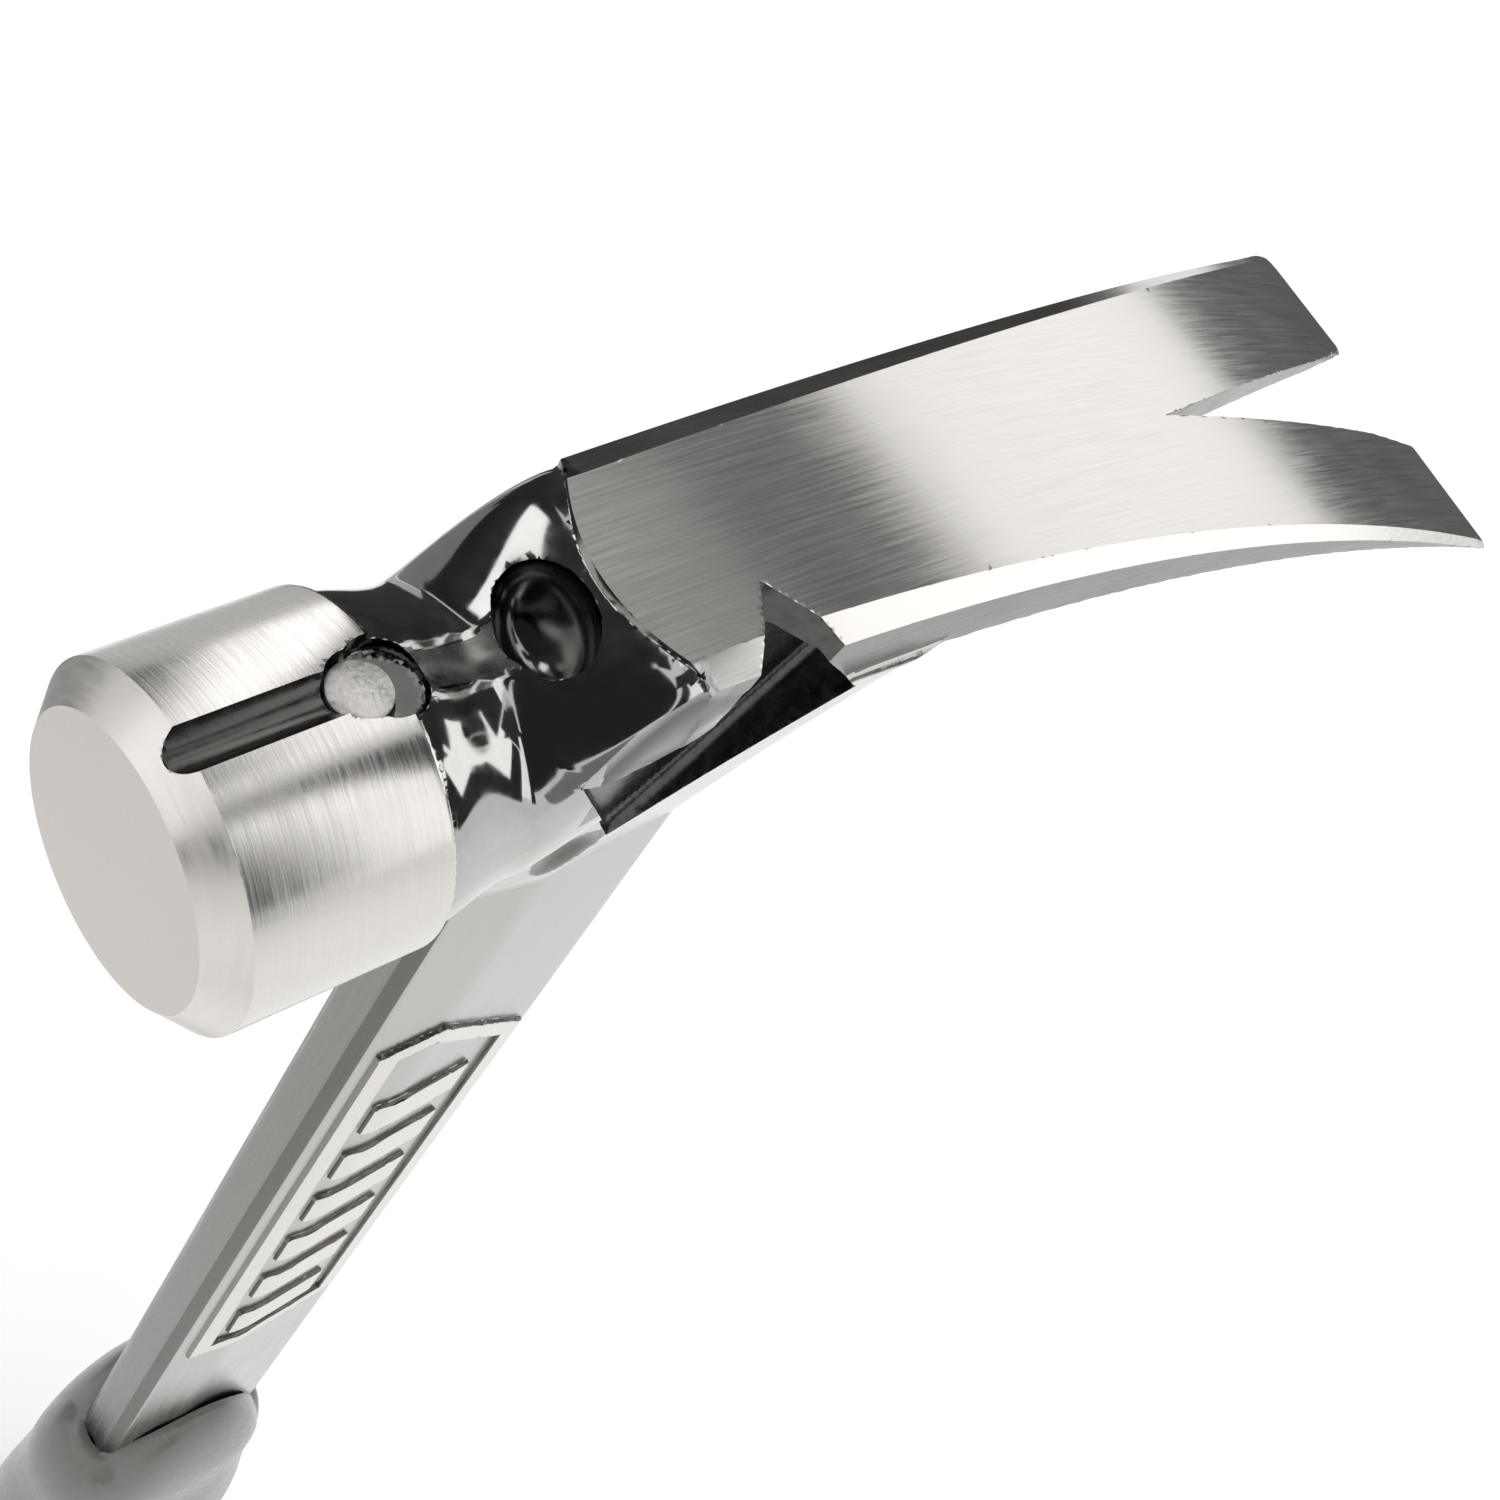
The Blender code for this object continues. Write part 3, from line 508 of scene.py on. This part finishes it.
def make_mesh(name, vertices, faces, field):
    """Mesh with corner normals read from the field, so curves shade smoothly and creases stay crisp."""
    mesh = bpy.data.meshes.new(name)
    mesh.from_pydata((vertices * MM + np.array([0.0, 0.0, POLL_Z * MM])).tolist(), [], faces.tolist())
    mesh.validate()
    mesh.update()
    corner = np.empty(len(mesh.loops), int)
    mesh.loops.foreach_get("vertex_index", corner)
    owner = np.repeat(np.arange(len(mesh.polygons)), [p.loop_total for p in mesh.polygons])
    centre = np.empty((len(mesh.polygons), 3))
    facing = np.empty((len(mesh.polygons), 3))
    mesh.polygons.foreach_get("center", centre.ravel())
    mesh.polygons.foreach_get("normal", facing.ravel())
    centre = centre / MM - np.array([0.0, 0.0, POLL_Z])
    smooth = gradient(field, vertices, REACH)[corner]
    crease = apart(smooth, facing[owner], CREASE)
    pulled = mix(vertices[corner], centre[owner], INWARD)[crease]
    smooth[crease] = gradient(field, pulled, REACH)
    astray = apart(smooth, facing[owner], ASTRAY)
    looks = gradient(field, centre)
    smooth[astray] = looks[owner[astray]]
    bent = apart(looks, facing, BENT)
    facing[bent] = looks[bent]
    mesh.polygons.foreach_set("use_smooth", np.ones(len(mesh.polygons), bool))
    mesh.normals_split_custom_set(smooth.tolist())
    obj = bpy.data.objects.new(name, mesh)
    bpy.context.scene.collection.objects.link(obj)
    return obj, centre, facing


PITCH = 0.4
FORGING_LOW = (-103.0, -23.0, -323.0)
FORGING_HIGH = (53.0, 23.0, 19.0)
verts, faces = contour(forging, FORGING_LOW, FORGING_HIGH, PITCH)
verts[:, 0] = np.maximum(verts[:, 0], TIP_X)
steel, centres, facings = make_mesh("steel_forging", verts, faces, forging)
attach(steel, "root")
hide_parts("hammer_forging")


# Finishes: each is a metal or plastic with its own grain, smudges and bump
BROAD = (70.0, 70.0, 70.0)  # scale of the smudges
BROAD_SHARE = 0.4  # tone of the smudges beside the grain's
SPECKS = (2600.0, 2600.0, 2600.0)
FINE_SPAN = (0.25, 0.75)  # part of each noise that is used
BROAD_SPAN = (0.3, 0.7)
SPECK_SPAN = (0.62, 0.7)
SIDE_SHADE_SPAN = (0.6, 0.85)  # squared y of the normal, from plain to fully darkened by painted side shade
COAT_ROUGH = 0.08


def finish(name, base, rough, grain, tone, wear, bump, depth, side_shade=1.0, metallic=1.0, speck=0.0, coat=0.0):
    """Principled surface. Grain is the noise's scale along x, y and z per metre, tone and wear vary colour
    and gloss, depth is the bump's in millimetres, and a side share below 1 darkens what looks along y, as painted
    shade on the flanks."""
    surface = bpy.data.materials.new(name)
    surface.use_nodes = True
    tree = surface.node_tree
    shader = tree.nodes["Principled BSDF"]
    shader.inputs["Metallic"].default_value = metallic
    shader.inputs["Coat Weight"].default_value = coat
    shader.inputs["Coat Roughness"].default_value = COAT_ROUGH
    coord = tree.nodes.new("ShaderNodeTexCoord")

    def noise(scale, detail):
        place = tree.nodes.new("ShaderNodeMapping")
        place.inputs["Scale"].default_value = scale
        tree.links.new(coord.outputs["Object"], place.inputs["Vector"])
        cloud = tree.nodes.new("ShaderNodeTexNoise")
        cloud.inputs["Scale"].default_value = 1.0
        cloud.inputs["Detail"].default_value = detail
        tree.links.new(place.outputs["Vector"], cloud.inputs["Vector"])
        return cloud.outputs["Fac"]

    def ranged(value, span, to_low, to_high):
        node = tree.nodes.new("ShaderNodeMapRange")
        tree.links.new(value, node.inputs["Value"])
        for socket, number in zip(("From Min", "From Max", "To Min", "To Max"), (*span, to_low, to_high)):
            node.inputs[socket].default_value = number
        return node.outputs["Result"]

    def combine(kind, first, second):
        node = tree.nodes.new("ShaderNodeMath")
        node.operation = kind
        tree.links.new(first, node.inputs[0])
        tree.links.new(second, node.inputs[1])
        return node.outputs["Value"]

    fine = noise(grain, 6.0)
    broad = noise(BROAD, 3.0)
    shade = combine("MULTIPLY", ranged(fine, FINE_SPAN, 1.0 - tone, 1.0 + tone),
                    ranged(broad, BROAD_SPAN, 1.0 - tone * BROAD_SHARE, 1.0 + tone * BROAD_SHARE))
    if speck:
        dots = noise(SPECKS, 2.0)
        shade = combine("MULTIPLY", shade, ranged(dots, SPECK_SPAN, 1.0, 1.0 - speck))
    # Painted shade: faces that look along y are darkened, in place of the shade on the flanks
    if side_shade < 1.0:
        split = tree.nodes.new("ShaderNodeSeparateXYZ")
        tree.links.new(coord.outputs["Normal"], split.inputs["Vector"])
        square = combine("MULTIPLY", split.outputs["Y"], split.outputs["Y"])
        shade = combine("MULTIPLY", shade, ranged(square, SIDE_SHADE_SPAN, 1.0, side_shade))
    tint = tree.nodes.new("ShaderNodeVectorMath")
    tint.operation = "SCALE"
    tint.inputs[0].default_value = base
    tree.links.new(shade, tint.inputs["Scale"])
    tree.links.new(tint.outputs["Vector"], shader.inputs["Base Color"])
    gloss = combine("ADD", ranged(fine, FINE_SPAN, rough * (1.0 - wear), rough * (1.0 + wear)),
                    ranged(broad, BROAD_SPAN, -rough * wear * 0.5, rough * wear * 0.5))
    tree.links.new(gloss, shader.inputs["Roughness"])
    relief = tree.nodes.new("ShaderNodeBump")
    relief.inputs["Strength"].default_value = bump
    relief.inputs["Distance"].default_value = depth * MM
    tree.links.new(fine, relief.inputs["Height"])
    tree.links.new(relief.outputs["Normal"], shader.inputs["Normal"])
    return surface


EVEN = (900.0, 900.0, 900.0)
STEEL = (0.66, 0.638, 0.61)
POLISH = (0.46, 0.453, 0.44)
# Painted shade on the heel's flanks: share of the colour left where they look along y
HEEL_SIDE_SHADE = 0.33
LENGTHWISE = (2200.0, 2200.0, 90.0)  # grain along the shank
# Base colour, roughness, grain, tone, wear, bump and its depth; the heel's row also gives its painted side shade
STEELS = {
    "turned_steel": (STEEL, 0.24, (5200.0, 90.0, 90.0), 0.05, 0.3, 0.22, 0.02),
    "chamfer_steel": ((0.70, 0.675, 0.645), 0.33, (2600.0, 260.0, 260.0), 0.06, 0.25, 0.2, 0.02),
    "face_steel": ((0.60, 0.57, 0.535), 0.5, (2200.0, 2200.0, 2200.0), 0.05, 0.15, 0.5, 0.03),
    "polished_steel": (POLISH, 0.09, EVEN, 0.05, 0.4, 0.06, 0.02),
    # the heel: polished steel with painted shade on its flanks
    "shaded_heel_steel": (POLISH, 0.09, EVEN, 0.05, 0.4, 0.06, 0.02, HEEL_SIDE_SHADE),
    "flank_steel": ((0.50, 0.483, 0.463), 0.18, (500.0, 500.0, 700.0), 0.04, 0.3, 0.08, 0.02),
    # Painted shade: darkened polished steel in the magnet's seat
    "shaded_seat_steel": ((0.14, 0.136, 0.13), 0.12, EVEN, 0.08, 0.3, 0.12, 0.02),
    "brushed_steel": (STEEL, 0.16, (110.0, 3600.0, 110.0), 0.07, 0.3, 0.2, 0.02),
    "bevel_steel": ((0.62, 0.603, 0.578), 0.2, (110.0, 2600.0, 2600.0), 0.05, 0.25, 0.2, 0.02),
    # Painted shade: darkened steel for the claw's flanks and underside and the nail slot's walls
    "shaded_side_steel": ((0.15, 0.144, 0.137), 0.26, (120.0, 2200.0, 2600.0), 0.07, 0.25, 0.25, 0.02),
    # Painted shade: near-black steel in the nail groove, the side recess and the notch
    "recess_shade_steel": ((0.10, 0.096, 0.09), 0.24, EVEN, 0.25, 0.3, 0.3, 0.04),
    "shank_steel": ((0.42, 0.405, 0.387), 0.22, LENGTHWISE, 0.06, 0.25, 0.2, 0.02),
    # Painted shade: darkened copies of the shank's steel, for its front and the runnel, and for its edges, the
    # panel's edges and the scoop
    "shaded_front_steel": ((0.22, 0.21, 0.198), 0.28, LENGTHWISE, 0.1, 0.25, 0.25, 0.02),
    "shaded_edge_steel": ((0.13, 0.122, 0.112), 0.3, LENGTHWISE, 0.12, 0.25, 0.25, 0.02),
    "raised_steel": ((0.66, 0.635, 0.605), 0.25, (2400.0, 2400.0, 200.0), 0.06, 0.25, 0.25, 0.02),
    # Painted shade: darkened polished steel in the oval pocket
    "shaded_pocket_steel": ((0.33, 0.323, 0.312), 0.13, EVEN, 0.08, 0.3, 0.12, 0.02),
}
order = list(STEELS)
for name, row in STEELS.items():
    steel.data.materials.append(finish(name, *row))

# Where the finishes meet
SHINE_Z = 1.5  # the neck is polished above this height
SHINE_X = 8.0
HEEL_X = (0.0, 18.0)
SIDE_X = 8.0
AHEAD = 0.93  # x of the normal of a face that looks straight ahead
PANEL_HALF = 11.0


def zones(p, n):
    """Finish of each face, from the shape it lies on and which way it looks."""
    x, y, z = p.T
    nx, ny, nz = n.T
    zone = np.full(len(p), order.index("flank_steel"))

    def paint(name, where):
        zone[where] = order.index(name)

    def on(shape, reach, turn=1.0, agree=0.72):
        """Faces that lie on a shape and look the way its skin does; turn is -1 for a cut."""
        def field(q):
            return shape(q[:, 0], q[:, 1], q[:, 2])

        near = np.abs(field(p)) < reach
        near[near] = (gradient(field, p[near]) * n[near]).sum(1) * turn > agree
        return near

    shine = on(neck, 0.9) & (z > SHINE_Z)
    paint("polished_steel", shine & (x > SHINE_X))
    # Painted shade: the heel's flanks are darkened through its finish
    paint("shaded_heel_steel", shine & (x > HEEL_X[0]) & (x < HEEL_X[1]))

    # Shank, with the panel's raised faces and their edges; its front and edges are painted in shade
    low = z < WEB_FOOT + 1.0
    paint("shank_steel", low)
    paint("shaded_edge_steel", low & (nx > 0.45))
    paint("shaded_front_steel", low & (nx > AHEAD))
    skin = shank(x, y, z)
    rim = low & (np.abs(x) < PANEL_HALF) & (nx < 0.9) & (z > PANEL[0][1] - 1.0)
    paint("raised_steel", rim & (skin > 0.3) & (np.abs(ny) > 0.8))
    paint("shaded_edge_steel", rim & (skin > 0.04) & (np.abs(ny) < 0.8))

    # Claw: flanks and underside in painted shade, then both bevels, then its top
    behind = x < ROOT_X + ROOT_BULGE + 0.5
    rear = on(claw, 0.4) & behind
    paint("shaded_side_steel", rear & (x < SIDE_X))
    bevels = rear & (nz > 0.35) & (x < ROOT_X)
    paint("bevel_steel", bevels & (ny > 0.25))
    paint("brushed_steel", bevels & (ny < -0.25))
    paint("brushed_steel", behind & (z > claw_top(x) - 0.3) & (nz > 0.75) & (np.abs(ny) < 0.25))

    head = (np.abs(poll(x, y, z)) < 0.5) & (x > NECK_X - 0.1)
    paint("turned_steel", head & (np.abs(nx) < 0.4))
    paint("chamfer_steel", head & (nx > 0.4))
    paint("face_steel", head & (nx > AHEAD))

    # Cuts, each painted in shade: darker steel than the faces round them
    # Painted shade in the runnel
    paint("shaded_front_steel", on(runnel, 0.3, -1.0, 0.9))
    # Painted shade in the oval pocket and the magnet's seat
    paint("shaded_pocket_steel", on(pocket, 0.2, -1.0, 0.6))
    paint("shaded_seat_steel", on(seat, 0.5, -1.0, 0.6))
    # Painted shade in the scoop
    paint("shaded_edge_steel", on(scoop, 0.5, -1.0, 0.5))
    # Painted shade in the groove, the recess and the notch
    paint("recess_shade_steel", on(groove, 0.4, -1.0, 0.6) & (nx < 0.4))
    paint("recess_shade_steel", on(recess, 0.8, -1.0, 0.6))
    paint("recess_shade_steel", on(notch, 0.4, -1.0, 0.6))
    # Painted shade on the nail slot's walls
    paint("shaded_side_steel", on(slot, 0.4, -1.0))
    return zone


steel.data.polygons.foreach_set("material_index", zones(centres, facings).astype(np.int32))


def plain_mesh(name, points, quads, angle):
    """Smooth mesh with sharp edges where faces meet at more than an angle in degrees."""
    mesh = bpy.data.meshes.new(name)
    mesh.from_pydata((points * MM + np.array([0.0, 0.0, POLL_Z * MM])).tolist(), [], quads)
    mesh.validate()
    mesh.update()
    mesh.shade_smooth()
    mesh.set_sharp_from_angle(angle=math.radians(angle))
    obj = bpy.data.objects.new(name, mesh)
    bpy.context.scene.collection.objects.link(obj)
    return obj


# Magnet: a sintered disc with a chamfered edge
def disc(name, x, radius, low, top, edge, count=96):
    rings = [
        (0.0, top),
        (radius - edge, top),
        (radius - edge * 0.3, top - edge * 0.3),
        (radius, top - edge),
        (radius, low),
        (0.0, low),
    ]
    points, quads = [], []
    for reach, height in rings:
        for i in range(count):
            turn = 2.0 * math.pi * i / count
            points.append((x + reach * math.cos(turn), reach * math.sin(turn), height))
    for level in range(len(rings) - 1):
        for i in range(count):
            j = (i + 1) % count
            quads.append((level * count + i, (level + 1) * count + i, (level + 1) * count + j, level * count + j))
    return plain_mesh(name, np.array(points), quads, 30.0)


magnet = disc("magnet_disc", MAGNET_X, MAGNET_R, MAGNET_TOP - MAGNET_DEEP, MAGNET_TOP, MAGNET_EDGE)
magnet.data.materials.append(finish("sintered_nickel", (0.80, 0.775, 0.745), 0.42, (2400.0, 2400.0, 2400.0),
                                    0.16, 0.25, 1.0, 0.06, speck=0.25))
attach(magnet, "root")
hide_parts("nail_magnet")

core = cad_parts["grip_core"]
core.data.materials.clear()
core.data.materials.append(finish("moulded_core", (0.035, 0.034, 0.033), 0.45, EVEN, 0.15, 0.2, 0.5, 0.05,
                                  metallic=0.0))


# Soft sleeve, from butt to shoulder: height, front, rear, half width, share of the collar's curve
SLEEVE = [
    (-323.7, 21.5, -24.0, 15.0, 0.0),
    (-286.0, 18.6, -18.2, 11.8, 0.0),
    (-240.0, 21.0, -17.4, 12.2, 0.0),
    (-206.0, 19.2, -15.2, 10.4, 0.3),
]
SLEEVE_STEPS = 29
SLEEVE_POWER = 0.8  # below 1, so that the rings are rounded boxes
CROWN = -187.0
CROWN_STEPS = 25
LIP = (14.3, -13.4, 5.6)
HOLE = (13.5, -12.6, 4.8)
HOLE_DROPS = (0.2, 9.0)
COLLAR_HALF = 12.9
COLLAR_LEAN = 0.47
COLLAR_FALL = 14.0


def sleeve_ring(z, front, rear, half, hang, count=160):
    turn = np.arange(count) * 2.0 * math.pi / count
    c, s = np.cos(turn), np.sin(turn)
    x = (front + rear) / 2 + (front - rear) / 2 * np.sign(c) * np.abs(c) ** SLEEVE_POWER
    y = half * np.sign(s) * np.abs(s) ** SLEEVE_POWER
    reach = np.clip(x / COLLAR_HALF, -1.0, 1.0)
    return np.stack([x, y, z + hang * (COLLAR_LEAN * COLLAR_HALF * reach - COLLAR_FALL * reach * reach)], 1)


def make_sleeve():
    rings = [sleeve_ring(*SLEEVE[0])]
    for low, high in zip(SLEEVE, SLEEVE[1:]):
        for t in np.linspace(0.0, 1.0, SLEEVE_STEPS)[1:]:
            sizes = [mix(a, b, ease(t)) for a, b in zip(low[1:], high[1:])]
            rings.append(sleeve_ring(mix(low[0], high[0], t), *sizes))
    top = SLEEVE[-1]
    for angle in np.linspace(0.0, math.pi / 2, CROWN_STEPS)[1:]:
        out, rise = math.cos(angle), math.sin(angle)
        sizes = [mix(lip, side, out) for lip, side in zip(LIP, top[1:4])]
        rings.append(sleeve_ring(mix(top[0], CROWN, rise), *sizes, mix(top[4], 1.0, rise)))
    inner = sleeve_ring(CROWN, *HOLE, 1.0)
    rings += [inner - np.array([0.0, 0.0, drop]) for drop in HOLE_DROPS]
    count = len(rings[0])
    quads = []
    for level in range(len(rings) - 1):
        for i in range(count):
            j = (i + 1) % count
            quads.append((level * count + i, level * count + j, (level + 1) * count + j, (level + 1) * count + i))
    return plain_mesh("grip_cover", np.concatenate(rings), quads, 50.0)


sleeve = make_sleeve()
sleeve.data.materials.append(finish("moulded_grip", (0.12, 0.115, 0.106), 0.34, EVEN, 0.08, 0.25, 0.5, 0.05,
                                    metallic=0.0, coat=0.3))
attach(sleeve, "root")
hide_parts("grip_sleeve")

# Stage; lengths from here on are in metres
world = bpy.data.worlds.new("studio")
bpy.context.scene.world = world
world.use_nodes = True
backdrop = world.node_tree.nodes["Background"]
backdrop.inputs["Color"].default_value = (1.0, 1.0, 1.0, 1.0)
backdrop.inputs["Strength"].default_value = 1.0


def staged(name, points, quads, surface):
    mesh = bpy.data.meshes.new(name)
    mesh.from_pydata(points, [], quads)
    mesh.materials.append(surface)
    obj = bpy.data.objects.new(name, mesh)
    bpy.context.scene.collection.objects.link(obj)
    return obj


FLOOR = 6.0
FLOOR_Z = -0.0005
pale = bpy.data.materials.new("pale_floor")
pale.use_nodes = True
paint = pale.node_tree.nodes["Principled BSDF"]
paint.inputs["Base Color"].default_value = (0.96, 0.96, 0.96, 1.0)
paint.inputs["Roughness"].default_value = 0.9
staged("floor", [(-FLOOR, -FLOOR, FLOOR_Z), (FLOOR, -FLOOR, FLOOR_Z), (FLOOR, FLOOR, FLOOR_Z),
                 (-FLOOR, FLOOR, FLOOR_Z)], [(0, 1, 2, 3)], pale)


def glowing(name, points, quads, strength):
    """Studio card that only reflections see: white ones are softboxes, dark ones are flags."""
    glow = bpy.data.materials.new(name)
    glow.use_nodes = True
    glow.node_tree.nodes.clear()
    out = glow.node_tree.nodes.new("ShaderNodeOutputMaterial")
    light = glow.node_tree.nodes.new("ShaderNodeEmission")
    light.inputs["Strength"].default_value = strength
    glow.node_tree.links.new(light.outputs["Emission"], out.inputs["Surface"])
    obj = staged(name, points, quads, glow)
    obj.visible_camera = False
    obj.visible_diffuse = False
    obj.visible_shadow = False
    obj.visible_transmission = False


def card(name, centre, radius, azimuth, elevation, strength, step=4.0):
    """Curved card round a point, between two bearings and two heights in degrees."""
    wide = max(2, round((azimuth[1] - azimuth[0]) / step) + 1)
    tall = max(2, round((elevation[1] - elevation[0]) / step) + 1)
    points, quads = [], []
    for j in range(tall):
        el = math.radians(mix(elevation[0], elevation[1], j / (tall - 1)))
        for i in range(wide):
            az = math.radians(mix(azimuth[0], azimuth[1], i / (wide - 1)))
            points.append((centre[0] + radius * math.cos(el) * math.cos(az),
                           centre[1] + radius * math.cos(el) * math.sin(az),
                           centre[2] + radius * math.sin(el)))
    for j in range(tall - 1):
        for i in range(wide - 1):
            k = j * wide + i
            quads.append((k, k + 1, k + 1 + wide, k + wide))
    glowing(name, points, quads, strength)


def screen(name, y, along, height, strength):
    """Small flat card beside the neck."""
    (rear, front), (low, top) = along, height
    glowing(name, [(rear, y, low), (front, y, low), (front, y, top), (rear, y, top)], [(0, 1, 2, 3)], strength)


# Cards: name, middle and radius of the curve, bearings, heights, strength
CLAW_MIDDLE = (-0.045, 0.0, 0.340)
HEAD_MIDDLE = (0.030, 0.0, 0.342)
CARDS = [
    ("flag_low", CLAW_MIDDLE, 0.6, (178.0, 209.0), (-32.0, 2.0), 0.12),
    ("softbox_rear", CLAW_MIDDLE, 0.6, (157.0, 209.0), (2.0, 32.0), 1.3),
    ("flag_rear", CLAW_MIDDLE, 0.6, (186.0, 222.0), (32.0, 45.0), 0.18),
    ("flag_root", CLAW_MIDDLE, 0.6, (186.0, 222.0), (45.0, 58.0), 0.36),
    ("flag_middle", HEAD_MIDDLE, 0.58, (158.0, 188.0), (25.0, 56.0), 0.04),
    ("flag_behind", HEAD_MIDDLE, 0.58, (175.0, 187.0), (4.0, 25.0), 0.04),
    ("flag_side", HEAD_MIDDLE, 0.5, (209.0, 237.0), (-40.0, 22.0), 0.05),
    ("flag_poll", HEAD_MIDDLE, 0.5, (237.0, 248.0), (-40.0, 2.0), 0.6),
    ("flag_far", HEAD_MIDDLE, 0.4, (250.0, 300.0), (-56.0, 8.0), 0.3),
    ("softbox_far", HEAD_MIDDLE, 0.64, (229.0, 248.0), (2.0, 52.0), 2.0),
    ("flag_quad", HEAD_MIDDLE, 0.08, (256.0, 274.0), (2.0, 88.0), 0.03),
    ("flag_under", HEAD_MIDDLE, 0.08, (274.0, 316.0), (2.0, 42.0), 0.03),
    ("flag_over", HEAD_MIDDLE, 0.08, (274.0, 303.0), (60.0, 88.0), 0.03),
    ("flag_cap", HEAD_MIDDLE, 0.08, (140.0, 256.0), (75.0, 88.0), 0.03),
    ("flag_arch", HEAD_MIDDLE, 0.08, (125.0, 155.0), (31.0, 50.0), 0.03),
    ("softbox_quad", HEAD_MIDDLE, 0.5, (285.0, 325.0), (26.0, 70.0), 1.9),
    ("softbox_front", HEAD_MIDDLE, 0.8, (316.0, 370.0), (4.0, 27.0), 1.35),
    ("flag_front", HEAD_MIDDLE, 0.08, (303.0, 370.0), (29.0, 88.0), 0.03),
    ("flag_heel", HEAD_MIDDLE, 0.08, (10.0, 106.0), (6.0, 88.0), 0.03),
    ("flag_flank", HEAD_MIDDLE, 0.4, (50.0, 82.0), (-46.0, 4.0), 0.28),
    ("flag_strip", HEAD_MIDDLE, 0.62, (124.0, 150.0), (55.0, 72.0), 0.7),
    ("softbox_near", HEAD_MIDDLE, 0.64, (112.0, 126.0), (3.0, 54.0), 1.5),
    ("softbox_quarter", HEAD_MIDDLE, 0.64, (126.0, 158.0), (3.0, 54.0), 1.75),
    ("softbox_neck", HEAD_MIDDLE, 0.64, (158.0, 175.0), (3.0, 25.0), 1.75),
    ("flag_neck", HEAD_MIDDLE, 0.6, (128.0, 141.0), (-1.0, 35.0), 0.03),
    ("flag_foot", HEAD_MIDDLE, 0.6, (141.0, 158.0), (-1.0, 10.0), 0.03),
    ("flag_gap", HEAD_MIDDLE, 0.6, (100.0, 112.0), (1.0, 54.0), 0.03),
    ("softbox_top", HEAD_MIDDLE, 0.66, (160.0, 236.0), (56.0, 76.0), 1.6),
]
for row in CARDS:
    card(*row)
screen("screen_far", -0.030, (-0.012, 0.017), (0.340, 0.400), 0.04)
screen("screen_near", 0.030, (-0.020, 0.014), (0.370, 0.425), 0.04)

# Lamps: name, place, size, power
LAMP_AIM = (0.0, 0.0, 0.2)
LAMPS = [("key", (-0.3, 0.5, 1.7), 1.4, 4.5), ("fill", (0.9, 0.9, 1.2), 1.0, 1.5)]
for name, spot, size, power in LAMPS:
    lamp = bpy.data.objects.new(name, bpy.data.lights.new(name, "AREA"))
    lamp.data.size = size
    lamp.data.energy = power
    lamp.location = spot
    lamp.rotation_euler = (Vector(LAMP_AIM) - Vector(spot)).to_track_quat("-Z", "Y").to_euler()
    lamp.visible_glossy = False
    bpy.context.scene.collection.objects.link(lamp)

# Camera, solved from the photo's edges
FOCAL_PX = 2714.42
PHOTO_PX = 1500.0
SENSOR = 36.0
EYE = (120.28, 65.38, 168.75)  # millimetres, from the poll axis
RIGHT = (-0.7574, 0.5394, 0.3679)
BACK = (0.5624, 0.2528, 0.7873)
bpy.context.scene.view_settings.view_transform = "Standard"
camera = bpy.data.objects.new("camera", bpy.data.cameras.new("camera"))
bpy.context.scene.collection.objects.link(camera)
bpy.context.scene.camera = camera
camera.data.sensor_width = SENSOR
camera.data.lens = FOCAL_PX / PHOTO_PX * SENSOR
camera.data.clip_start = 0.005
right = Vector(RIGHT).normalized()
back = Vector(BACK).normalized()
up = back.cross(right)
right = up.cross(back)
place = Matrix.Translation(Vector((EYE[0], EYE[1], EYE[2] + POLL_Z)) * MM)
camera.matrix_world = place @ Matrix((right, up, back)).transposed().to_4x4()
